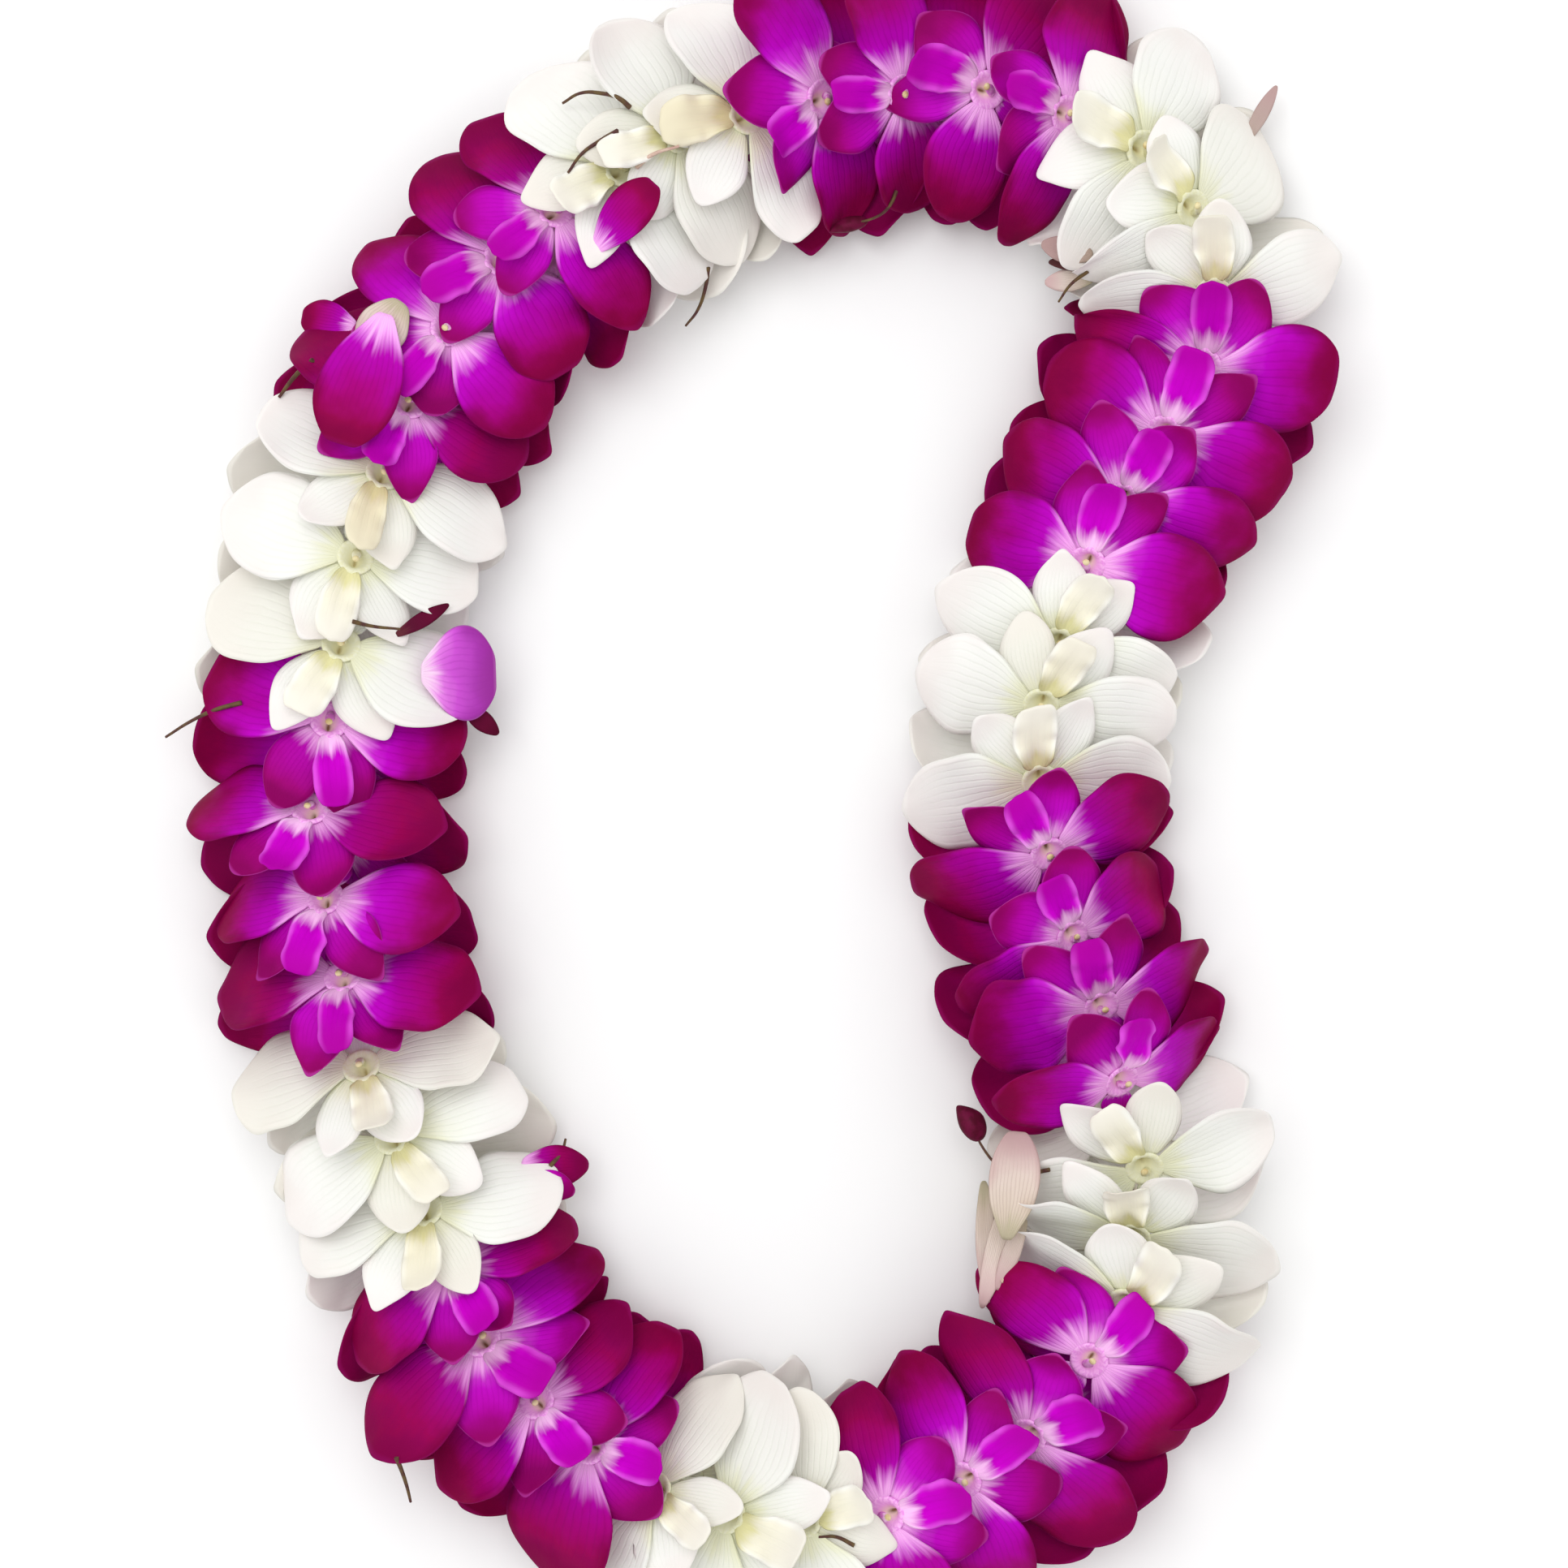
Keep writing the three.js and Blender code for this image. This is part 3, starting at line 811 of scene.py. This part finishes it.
def model_neck(material):
    """Two necks back to back: a flared bowl at both ends, narrow at the thread, with a hole for it"""
    neck = start_from(bpy.ops.mesh.primitive_cylinder_add, vertices=NECK_SIDES, radius=THROAT_RADIUS,
                      depth=2 * THROAT_HEIGHT)
    for turn in (-1, 1):
        end = turn * THROAT_HEIGHT
        select_vertices(neck, lambda place: abs(place.z - end) < SAME)
        width = THROAT_RADIUS
        height = 0
        for radius, rise in THROAT_RINGS:
            bpy.ops.mesh.extrude_region_move()
            bpy.ops.transform.resize(value=(radius / width, radius / width, 1))
            bpy.ops.transform.translate(value=(0, 0, turn * (rise - height)))
            width = radius
            height = rise
        bpy.ops.mesh.poke()
    for level in NECK_LEVELS:
        select_wall(neck)
        bpy.ops.mesh.bisect(plane_co=(0, 0, level * THROAT_HEIGHT), plane_no=(0, 0, 1))
    for level in NECK_LEVELS:
        height = level * THROAT_HEIGHT
        width = WAIST_RADIUS + (THROAT_RADIUS - WAIST_RADIUS) * abs(level) ** NECK_FLARE
        select_vertices(neck, lambda place: abs(place.z - height) < SAME and in_wall(place))
        bpy.ops.transform.resize(value=(width / THROAT_RADIUS, width / THROAT_RADIUS, 1),
                                 center_override=(0, 0, height))
    bpy.ops.object.mode_set(mode="OBJECT")
    cut_bore(neck)
    give_material(neck, material)
    local = neck.data.attributes.new("local", "FLOAT_VECTOR", "POINT")
    local.data.foreach_set("vector", places_of(neck).ravel())
    return put_away(neck)


def in_wall(place):
    return math.hypot(place.x, place.y) > INNER_RADIUS


def select_wall(neck):
    """In edit mode: selects the faces of the neck's outer wall"""
    mesh = bmesh.from_edit_mesh(neck.data)
    for face in mesh.faces:
        face.select = abs(face.normal.z) < 0.1 and in_wall(face.calc_center_median())
    bmesh.update_edit_mesh(neck.data)


def cut_bore(neck):
    bpy.ops.mesh.primitive_cylinder_add(vertices=BORE_SIDES, radius=BORE_RADIUS, depth=THROAT_RADIUS * 4,
                                        rotation=(0, math.radians(90), 0))
    bore = bpy.context.object
    apply_modifier(neck, "BOOLEAN", operation="DIFFERENCE", solver="EXACT", object=bore)
    bpy.data.objects.remove(bore)


MASTERS = {
    colour: {
        "back_sepal": model_blade(BACK_SEPAL, sepal),
        "petal": model_blade(PETAL, petal),
        "side_sepal": model_blade(SIDE_SEPAL, sepal),
        "lip": model_blade(LIP, lip),
        "column": model_column(column, ANTHER),
        "neck": model_neck(throat),
    }
    for colour, petal, sepal, lip, column, throat in (
        ("purple", PURPLE_PETAL, PURPLE_SEPAL, PURPLE_LIP, PINK_COLUMN, PURPLE_THROAT),
        ("white", WHITE_PETAL, WHITE_PETAL, WHITE_LIP, CREAM_COLUMN, WHITE_THROAT),
    )
}


# Copies, each with its own mesh
def copy_of(master, name, shade):
    mesh = master.copy()
    mesh.name = name
    own = mesh.attributes.new("shade", "FLOAT", "POINT")
    own.data.foreach_set("value", [shade] * len(mesh.vertices))
    return in_scene(name, mesh)


def stray(amount):
    """How far one real bloom or lobe strays from the plain one, either way"""
    return looks.uniform(-amount, amount)


def bloom_frame(distance, roll, lean_back, turn, size, freedom, least_painted_shade):
    """One bloom's own frame: x across it, y towards its back sepal, z out of its face"""
    out = UP * math.cos(roll) + LEFT * math.sin(roll)
    across = np.cross(out, ALONG)
    back = -ALONG * math.cos(lean_back) - out * math.sin(lean_back)
    face = out * math.cos(lean_back) - ALONG * math.sin(lean_back)
    x = across * math.cos(turn) + back * math.sin(turn)
    y = back * math.cos(turn) - across * math.sin(turn)
    tilt, sway, own_turn = (math.radians(freedom * stray(most)) for most in (OWN_TILT, OWN_TILT, OWN_TURN))
    own = np.array(Euler((tilt, sway, own_turn)).to_matrix())
    size *= 1 + freedom * stray(OWN_SIZE)
    throat = out * THROAT_HEIGHT + freedom * (across * stray(OWN_SHIFT) + ALONG * stray(OWN_SHIFT))
    return {"distance": distance, "bend": route.bend_at(distance), "throat": throat,
            "axes": own @ np.array([x, y, face]) * size, "freedom": freedom, "least_painted_shade": least_painted_shade}


def to_place(bloom, local):
    return bent_round(bloom["distance"], bloom["bend"], bloom["throat"] + local @ bloom["axes"])


def on_blade(piece, lobe):
    """A flat blade's vertices: their places, and these as shares of its length and of its half width"""
    flat = places_of(piece)
    return flat, flat[:, 0] / lobe["length"], flat[:, 1] / lobe["half_width"]


def add_lobe(bloom, lobe, master):
    """Turns, bends and folds a copy of a blade into its place round the throat"""
    freedom = bloom["freedom"]
    angle = math.radians(lobe["angle"] + draws.vary(TURN_JITTER) + freedom * stray(lobe["turn"]))
    length = lobe["length"] * (1 + draws.vary(SIZE_JITTER))
    bend = lobe["bend"] + draws.vary(BEND_JITTER)
    # The shade sets each lobe's tone at random, and on the lower row's lobes it adds painted shade
    piece = copy_of(master, lobe["name"], looks.uniform(bloom["least_painted_shade"], 1))
    flat, share, across = on_blade(piece, lobe)
    point = lobe["point"] * looks.random() * np.exp(-((across / 0.3) ** 2))
    point *= np.clip((share - 0.8) / 0.2, 0, 1)
    reach = INNER_RADIUS + (share + point) * length
    sideways = flat[:, 1] * (1 + stray(lobe["breadth"])) + stray(lobe["bow"]) * share**2
    height = flat[:, 2] + lobe["rise"] * share + bend * share**2 + lobe["crease"] * across**2 * share
    height += lobe["whorl"] * WHORL_STEP + folds(lobe, share, across, freedom)
    if lobe["name"] == "lip":
        side_lobes = np.clip(1 - ((share - SIDE_LOBE_PLACE) / SIDE_LOBE_REACH) ** 2, 0, 1)
        height += SIDE_LOBE_RISE * side_lobes * across**2
        sideways *= 1 - SIDE_LOBE_CLOSED * side_lobes * np.abs(across)
    x = reach * math.cos(angle) - sideways * math.sin(angle)
    y = reach * math.sin(angle) + sideways * math.cos(angle)
    set_places(piece, to_place(bloom, np.column_stack([x, y, height])))
    return piece


def folds(lobe, share, across, freedom):
    """What differs between two real blades: waved margins, a midrib, a twist, a cupped or curled tip"""
    phase = looks.uniform(0, 2 * math.pi)
    waves = lobe["waves"] * looks.uniform(0.8, 1.25)
    strength = lobe["ruffle"] * looks.uniform(0.5, 1.3)
    edge = np.abs(across) ** 2.2 * np.clip(share * 2.2, 0, 1)
    wave = np.sin(2 * math.pi * waves * share + phase + np.sign(across) * 1.3)
    midrib = np.exp(-((across / lobe["groove_width"]) ** 2))
    midrib *= np.clip(1.15 - share, 0, 1) * np.clip(share * 5, 0, 1)
    tip = np.clip((share - 0.6) / 0.4, 0, 1) ** 2
    own = stray(lobe["cup"]) * across**2 * share + stray(lobe["twist"]) * across * share
    own += stray(lobe["curl"]) * tip
    return strength * edge * wave - lobe["groove"] * midrib + freedom * own


def add_column(bloom, master, shade):
    piece = copy_of(master, "column", shade)
    set_places(piece, to_place(bloom, places_of(piece)))
    return piece


def add_bloom(bloom, masters):
    pieces = [add_lobe(bloom, lobe, masters[lobe["name"]]) for lobe in LOBES]
    pieces.append(add_column(bloom, masters["column"], looks.random()))
    return pieces


def add_neck(blooms, distance, roll, master, shade):
    """The two necks, whose ends follow the throats while the waist stays round the thread"""
    piece = copy_of(master, "neck", shade)
    x, y, z = places_of(piece).T
    middle, forward = (found[0] for found in route.along(distance + BACK_ROW_OFFSET / 2))
    left = np.cross(UP, forward)
    out = UP * math.cos(roll) + left * math.sin(roll)
    across = left * math.cos(roll) - UP * math.sin(roll)
    waist = middle + np.outer(y, -across) + np.outer(x, forward) + np.outer(z, out)
    shares = [np.clip(turn * z / THROAT_HEIGHT, 0, 1)[:, None] ** 1.5 for turn in (1, -1)]
    places = waist * (1 - shares[0] - shares[1])
    for bloom, turn, share in zip(blooms, (1, -1), shares):
        end = np.column_stack([turn * y, -x, turn * z - THROAT_HEIGHT])
        places = places + to_place(bloom, end) * share
    set_places(piece, places)
    return piece


def bloom_pair(name, colour, distance, wander, freedom):
    """Two blooms back to back, joined by the necks that the thread pierces"""
    roll = math.radians(wander + draws.vary(ROLL_JITTER))
    blooms = [
        bloom_frame(
            distance + behind + draws.vary(PLACE_JITTER), roll + over,
            math.radians(LEAN + draws.vary(LEAN_JITTER)), math.radians(draws.vary(TURN_JITTER)),
            1 + draws.vary(SIZE_JITTER), freedom * share, least_painted_shade,
        )
        for behind, over, share, least_painted_shade in (
            (0, 0, 1, 0.0), (BACK_ROW_OFFSET, math.pi, LOWER_ROW_SHARE, LOWER_ROW_PAINTED_SHADE),
        )
    ]
    masters = MASTERS[colour]
    pieces = [piece for bloom in blooms for piece in add_bloom(bloom, masters)]
    pieces.append(add_neck(blooms, distance, roll, masters["neck"], looks.random()))
    pair = join_pieces(name, pieces)
    places = places_of(pair)
    places[:, 2] = np.maximum(places[:, 2], 0)
    set_places(pair, places)
    return pair


def face_tree(piece):
    mesh = bmesh.new()
    mesh.from_mesh(piece.data)
    tree = BVHTree.FromBMesh(mesh)
    mesh.free()
    return tree


def least_crossed(name, colour, distance, wander, near):
    """Builds a pair in several ways, each calmer than the last, until one is clear of its neighbours, and
    else keeps the one that passes through them least"""
    start = draws.state
    fewest = None
    for attempt in range(WAYS_TRIED):
        draws.state = start
        freedom = 1 - LAST_WAY_CALMER_BY * attempt / WAYS_TRIED
        pair = bloom_pair(name, colour, distance, wander, freedom)
        tree = face_tree(pair)
        crossed = sum(len(tree.overlap(other)) for other in near)
        if fewest is None or crossed < fewest:
            if fewest is not None:
                bpy.data.meshes.remove(kept.data)
            fewest, kept, kept_tree = crossed, pair, tree
        else:
            bpy.data.meshes.remove(pair.data)
        if fewest == 0:
            break
    rename(kept, name)
    return kept, kept_tree


# Where each pair of blooms sits on the thread
def pair_places():
    total = sum(length for _, length in BANDS)
    start = FIRST_BAND_START
    found = []
    for number, (colour, share) in enumerate(BANDS, 1):
        length = share / total * route.length
        count = PAIRS_IN_BAND[colour]
        for i in range(count):
            ending = f"{number:02d}_{i + 1}"
            found.append((ending, colour, start + (i + 0.5) / count * length))
        start += length
    return found


# Thin stalks that lie on the blooms or poke out between them. First, as shares of their radius: how far
# their middle is above the blooms, how thick the foot is, and how much less the tip. Then for each: its
# finish, its radius and the places that it passes over, seen from above
STALK_RAISED = 0.7
STALK_FOOT = 1.3
STALK_TAPER = 0.6
STALKS = [
    (STALK, 0.00050, [(-0.1338, 0.0241), (-0.1401, 0.0224), (-0.1473, 0.0195), (-0.1548, 0.0153)]),
    (STALK, 0.00055, [(-0.0334, 0.1764), (-0.0362, 0.1785), (-0.0410, 0.1803), (-0.0465, 0.1808),
                      (-0.0511, 0.1787)]),
    (STALK, 0.00050, [(-0.0364, 0.1698), (-0.0410, 0.1677), (-0.0456, 0.1646), (-0.0492, 0.1593)]),
    (STALK, 0.00045, [(-0.0137, 0.1375), (-0.0145, 0.1325), (-0.0166, 0.1270), (-0.0198, 0.1232)]),
    (STALK, 0.00045, [(-0.1044, 0.0447), (-0.0998, 0.0436), (-0.0929, 0.0430)]),
    (STALK, 0.00060, [(-0.1153, 0.1123), (-0.1200, 0.1089), (-0.1248, 0.1033)]),
    (STALK, 0.00050, [(-0.0931, -0.1691), (-0.0918, -0.1733), (-0.0908, -0.1775), (-0.0901, -0.1817)]),
    (STALK, 0.00045, [(-0.0549, -0.0964), (-0.0519, -0.0927), (-0.0511, -0.0897)]),
    (STALK, 0.00040, [(0.0842, 0.1350), (0.0800, 0.1320), (0.0770, 0.1278)]),
    (STALK, 0.00045, [(0.0241, -0.1928), (0.0195, -0.1907), (0.0149, -0.1907)]),
    (PALE_STALK, 0.00070, [(0.0623, -0.0985), (0.0606, -0.1090), (0.0615, -0.1195), (0.0590, -0.1313)]),
    (PALE_STALK, 0.00055, [(0.0669, -0.1111), (0.0653, -0.1185), (0.0623, -0.1258)]),
    (PALE_STALK, 0.00050, [(-0.0318, 0.1610), (-0.0276, 0.1640), (-0.0208, 0.1661)]),
]

# Small buds: how deep their furrows are and how far the tip bends, as shares of half the width. Then for
# each: its stalk's radius, the places from its foot to the bud's middle, the bud's tip, length and width
BUD_FURROW = 0.10
BUD_BEND = 0.3
BUDS = [
    (0.00045, [(0.0745, -0.0964), (0.0682, -0.0977), (0.0623, -0.0964), (0.0579, -0.0918), (0.0548, -0.0851)],
     (0.0518, -0.0796), 0.0110, 0.0072),
    (0.00040, [(0.0352, 0.1572), (0.0338, 0.1539), (0.0310, 0.1512), (0.0228, 0.1491)],
     (0.0170, 0.1478), 0.0105, 0.0042),
]

# Loose petals and sepals: their finish, their kind, their root and their tip seen from above, their half
# width, their shade, 0 for the palest, and how deep root and tip lie under the blooms' highest faces
SPARE_LOBES = [
    (LILAC_PETAL, PETAL, (-0.0876, 0.0317), (-0.0691, 0.0319), 0.0118, 0.2, 0, 0),
    (DRIED_PETAL, SIDE_SEPAL, (-0.0775, 0.0237), (-0.0687, 0.0161), 0.0024, 0.4, 0.002, 0),
    (DRIED_PETAL, SIDE_SEPAL, (-0.0943, 0.0415), (-0.0805, 0.0495), 0.0018, 0.3, 0.001, 0),
    (PURPLE_PETAL, PETAL, (-0.1053, 0.1224), (-0.1200, 0.1253), 0.0050, 0.45, 0.002, 0),
    (PURPLE_PETAL, PETAL, (-0.0960, 0.1236), (-0.1069, 0.0896), 0.0105, 0.5, 0, 0),
    (FADED_PETAL, SIDE_SEPAL, (-0.0922, 0.1270), (-0.1023, 0.1131), 0.0062, 0.6, -0.0018, -0.0018),
    (PURPLE_PETAL, SIDE_SEPAL, (-0.0624, -0.0964), (-0.0452, -0.0969), 0.0052, 0.9, 0.005, 0.004),
    (PURPLE_SEPAL, SIDE_SEPAL, (-0.0599, -0.0990), (-0.0486, -0.1036), 0.0036, 0.8, 0.006, 0.005),
    (PURPLE_PETAL, PETAL, (-0.0427, 0.1400), (-0.0271, 0.1564), 0.0058, 0.6, 0.003, -0.002),
    (FADED_PETAL, PETAL, (0.0632, -0.1141), (0.0665, -0.0868), 0.0064, 0.2, 0, 0),
    (FADED_PETAL, SIDE_SEPAL, (0.0648, -0.1027), (0.0573, -0.1330), 0.0028, 0.5, 0, 0),
    (FADED_PETAL, SIDE_SEPAL, (0.0585, -0.1011), (0.0585, -0.1292), 0.0024, 0.3, 0.0015, 0.0015),
    (FADED_PETAL, SIDE_SEPAL, (0.0682, -0.1090), (0.0611, -0.1279), 0.0022, 0.7, 0.002, 0.002),
    (FADED_PETAL, SIDE_SEPAL, (0.1266, 0.1707), (0.1358, 0.1871), 0.0018, 0.9, 0.004, 0.002),
    (FADED_PETAL, SIDE_SEPAL, (0.0856, 0.1392), (0.0724, 0.1425), 0.0032, 1.0, 0.008, 0.006),
    (DRIED_PETAL, SIDE_SEPAL, (0.0867, 0.1367), (0.0745, 0.1383), 0.0018, 1.0, 0.009, 0.007),
    (FADED_PETAL, SIDE_SEPAL, (0.0863, 0.1341), (0.0737, 0.1333), 0.0026, 0.3, 0.008, 0.006),
]

# Over the blooms, and how steeply loose pieces bend down between them or past their outline
CLEAR_ABOVE = 0.1
STEEPEST = 0.5
LEVELS_ALONG_LOBE = 7


def highest_at(x, y):
    """How high the blooms reach at a place seen from above, and which pair reaches there"""
    start = Vector((x, y, CLEAR_ABOVE))
    found = [(tree.ray_cast(start, Vector((0, 0, -1)))[0], number) for number, tree in enumerate(trees)]
    return max(((place.z, number) for place, number in found if place), default=None)


def nearest_to(x, y):
    """How high the blooms are where they come nearest to a place beside them, and which pair that is"""
    start = Vector((x, y, BLOOM_LEVEL))
    found = [(tree.find_nearest(start), number) for number, tree in enumerate(trees)]
    (place, _, _, _), number = min(found, key=lambda hit: hit[0][3])
    return place.z, number


def highest_round(place, reach):
    """The same for the highest of three places: this one, and as far to both sides as the reach"""
    hits = (highest_at(*(place + side * reach)) for side in (-1, 0, 1))
    return max(filter(None, hits), default=None)


def laid_levels(places, reach=(0, 0)):
    """The heights of a stiff thing that lies on the blooms along the places and as far to both sides of them
    as its reach, and the pair under its foot"""
    places = np.array(places)
    found = [highest_round(place, np.array(reach)) for place in places]
    if not any(found):
        found[0] = nearest_to(*places[0])
    owner = next(hit[1] for hit in found if hit)
    levels = np.array([hit[0] if hit else 0.0 for hit in found])
    gaps = np.linalg.norm(np.diff(places, axis=0), axis=1) * STEEPEST
    for index in range(1, len(levels)):
        levels[index] = max(levels[index], levels[index - 1] - gaps[index - 1])
    for index in reversed(range(len(levels) - 1)):
        levels[index] = max(levels[index], levels[index + 1] - gaps[index])
    return levels, owner


def lay_stalk(material, radius, places):
    """A thin stalk that lies on the blooms along the places, and the pair that it grows from"""
    levels, owner = laid_levels(places)
    return model_stalk(material, radius, places, levels), owner


def model_stalk(material, radius, places, levels):
    """A thin round stalk through the places, a little thicker at its foot"""
    points = [(x, y, level + radius * STALK_RAISED) for (x, y), level in zip(places, levels)]
    curve, line = new_curve("stalk", "BEZIER")
    set_all(curve, {"resolution_u": 5, "bevel_depth": radius, "bevel_resolution": 1, "use_fill_caps": True})
    line.bezier_points.add(len(points) - 1)
    for index, (joint, point) in enumerate(zip(line.bezier_points, points)):
        joint.co = point
        joint.handle_left_type = "AUTO"
        joint.handle_right_type = "AUTO"
        joint.radius = STALK_FOOT - STALK_TAPER * index / (len(points) - 1)
    return mesh_from_curve(curve, material)


def lay_bud(radius, places, tip, length, width):
    """A bud at the end of its stalk, and the pair that it grows from"""
    levels, owner = laid_levels(places, (0, width / 3))
    levels[-1] += width * 0.35
    stalk = model_stalk(STALK, radius, places, levels)
    return join_pieces("bud", [model_bud((*places[-1], levels[-1]), tip, length, width), stalk]), owner


def model_bud(middle, tip, length, width):
    """A closed bud: a drop with a drawn-out, slightly bent tip and three soft furrows"""
    deselect_everything()
    bpy.ops.mesh.primitive_uv_sphere_add(segments=24, ring_count=16)
    bud = bpy.context.object
    places = places_of(bud)
    along = places[:, 2]
    turn = np.arctan2(places[:, 1], places[:, 0])
    end = np.clip(along, 0, 1)
    furrows = BUD_FURROW * np.clip(np.cos(3 * turn), 0, 1) ** 2 * (1 - along**2)
    places[:, :2] *= ((1 - 0.5 * end**1.5) * (1 - furrows))[:, None]
    places[:, 0] += BUD_BEND * end**2
    set_places(bud, places * (width / 2, width / 2, length / 2))
    towards = Vector((tip[0] - middle[0], tip[1] - middle[1], 0))
    bud.rotation_euler = towards.to_track_quat("Z", "Y").to_euler()
    bud.location = middle
    make_active(bud)
    bpy.ops.object.transform_apply(location=True, rotation=True, scale=True)
    give_material(bud, BUD)
    return bud


def lay_lobe(material, lobe, root, tip, half_width, shade, root_depth, tip_depth):
    """A loose petal or sepal that lies on the blooms from its root to its tip, and the pair under its root"""
    root = np.array(root)
    tip = np.array(tip)
    side = np.array([root[1] - tip[1], tip[0] - root[0]]) / np.linalg.norm(tip - root)
    at = np.linspace(0, 1, LEVELS_ALONG_LOBE)
    levels, owner = laid_levels(root + np.outer(at, tip - root), side * half_width * 0.7)
    levels -= root_depth * (1 - at) + tip_depth * at
    arch = np.polyfit(at, levels, 2)
    arch[-1] += np.max(levels - np.polyval(arch, at))
    piece = copy_of(MASTERS["purple"][lobe["name"]], "spare_lobe", shade)
    piece.data.materials[0] = material
    flat, share, across = on_blade(piece, lobe)
    scale = half_width / lobe["half_width"]
    places = root + np.outer(share, tip - root) + np.outer(across * half_width, side)
    height = np.polyval(arch, share) + flat[:, 2] + folds(lobe, share, across, 1.0) * scale
    height += lobe["crease"] * across**2 * share * scale + stray(0.2) * across * half_width
    set_places(piece, np.column_stack([places, height]))
    return piece, owner


# The thread through all the necks, with its knot and two tails
def model_cord(points, closed, radius):
    """A three-ply cord through the points: a clover section that turns as it goes"""
    section, outline = new_curve("section", "POLY", "2D")
    outline.points.add(THREAD_SIDES - 1)
    outline.use_cyclic_u = True
    for index, point in enumerate(outline.points):
        turn = 2 * math.pi * index / THREAD_SIDES
        reach = radius * (1 - PLY_DEPTH * (0.5 - 0.5 * math.cos(PLY_COUNT * turn)))
        point.co = (reach * math.cos(turn), reach * math.sin(turn), 0, 1)
    profile = in_scene("section", section)
    curve, line = new_curve("cord", "POLY")
    set_all(curve, {"twist_mode": "Z_UP" if closed else "MINIMUM", "bevel_mode": "OBJECT",
                    "bevel_object": profile, "use_fill_caps": not closed})
    line.points.add(len(points) - 1)
    line.use_cyclic_u = closed
    gaps = np.linalg.norm(np.diff(points, axis=0), axis=1)
    travelled = np.concatenate([[0], np.cumsum(gaps)])
    for joint, place, distance in zip(line.points, points, travelled):
        joint.co = (*place, 1)
        joint.tilt = 2 * math.pi * distance / TWIST_PITCH
    cord = mesh_from_curve(curve, THREAD)
    bpy.data.objects.remove(profile)
    return cord


def model_thread(knot_distance):
    """The closed cord, a trefoil for its knot and two tails, in one piece"""
    steps = round(route.length / TWIST_PITCH) * STEPS_PER_TWIST
    points, _ = route.along(np.arange(steps) / steps * route.length)
    pieces = [model_cord(points, True, THREAD_RADIUS)]
    centre, forward = (found[0] for found in route.along(knot_distance))
    left = np.cross(UP, forward)
    turn = np.linspace(0, 2 * math.pi, KNOT_STEPS)
    loop = np.outer(np.sin(turn) + 2 * np.sin(2 * turn), forward)
    loop = loop + np.outer(np.cos(turn) - 2 * np.cos(2 * turn), left) - np.outer(np.sin(3 * turn), UP)
    pieces.append(model_cord(centre + loop * KNOT_RADIUS * KNOT_TIGHT, False, THREAD_RADIUS * PULLED_THIN))
    for side in (1, -1):
        direction = left * TAIL_ASIDE * side + forward * TAIL_AHEAD
        share = np.linspace(0, 1, TAIL_STEPS)[:, None]
        tail = centre + direction * TAIL_LENGTH * share + UP * TAIL_SAG * np.sin(share * 5)
        pieces.append(model_cord(tail, False, THREAD_RADIUS * TAIL_THIN))
    thread = join_pieces("strung_thread", pieces)
    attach(thread, "root")
    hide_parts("thread")


PLACES = pair_places()
pairs = []
trees = []
for index, (ending, colour, distance) in enumerate(PLACES):
    wander = ROLL_WANDER * math.sin(distance / route.length * 2 * math.pi * ROLL_WAVES + ROLL_START)
    near = trees[-2:] + (trees[:2] if index > len(PLACES) - 3 else [])
    pair, tree = least_crossed(f"{colour}_orchids_{ending}", colour, distance, wander, near)
    pairs.append(pair)
    trees.append(tree)

loose = [lay_stalk(*given) for given in STALKS]
loose += [lay_bud(*given) for given in BUDS]
loose += [lay_lobe(*given) for given in SPARE_LOBES]
for number, (ending, colour, _) in enumerate(PLACES):
    pair = pairs[number]
    own = [piece for piece, owner in loose if owner == number]
    if own:
        pair = join_pieces(pair.name, [pair, *own])
    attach(pair, "root")
    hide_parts(f"{colour}_blooms_{ending}")

# The knot is tied between the last two pairs
model_thread((PLACES[-2][2] + PLACES[-1][2] + BACK_ROW_OFFSET) / 2)


# Floor, lights and surroundings
def make_floor():
    deselect_everything()
    bpy.ops.mesh.primitive_plane_add(size=FLOOR_SIZE, location=(0, 0, 0))
    floor = bpy.context.object
    floor.name = "floor"
    material, tree = new_material("floor", roughness=0.9, specular=0.1)
    tree.nodes["Principled BSDF"].inputs["Base Color"].default_value = (*FLOOR_WHITE, 1)
    floor.data.materials.append(material)


def make_key_light():
    """One wide softbox, high over the loop's upper left"""
    light = in_scene("key_softbox", bpy.data.lights.new("key_softbox", "AREA"))
    set_all(light.data, {"shape": "DISK", "size": KEY_SIZE, "energy": KEY_POWER})
    light.location = KEY_PLACE
    light.rotation_euler = (-Vector(KEY_PLACE)).to_track_quat("-Z", "Y").to_euler()


def make_surroundings():
    scene = bpy.context.scene
    world = bpy.data.worlds.new("studio")
    world.use_nodes = True
    background = world.node_tree.nodes["Background"].inputs
    background["Color"].default_value = (1, 1, 1, 1)
    background["Strength"].default_value = SKY_STRENGTH
    scene.world = world
    scene.view_settings.view_transform = "Standard"


make_floor()
make_key_light()
make_surroundings()
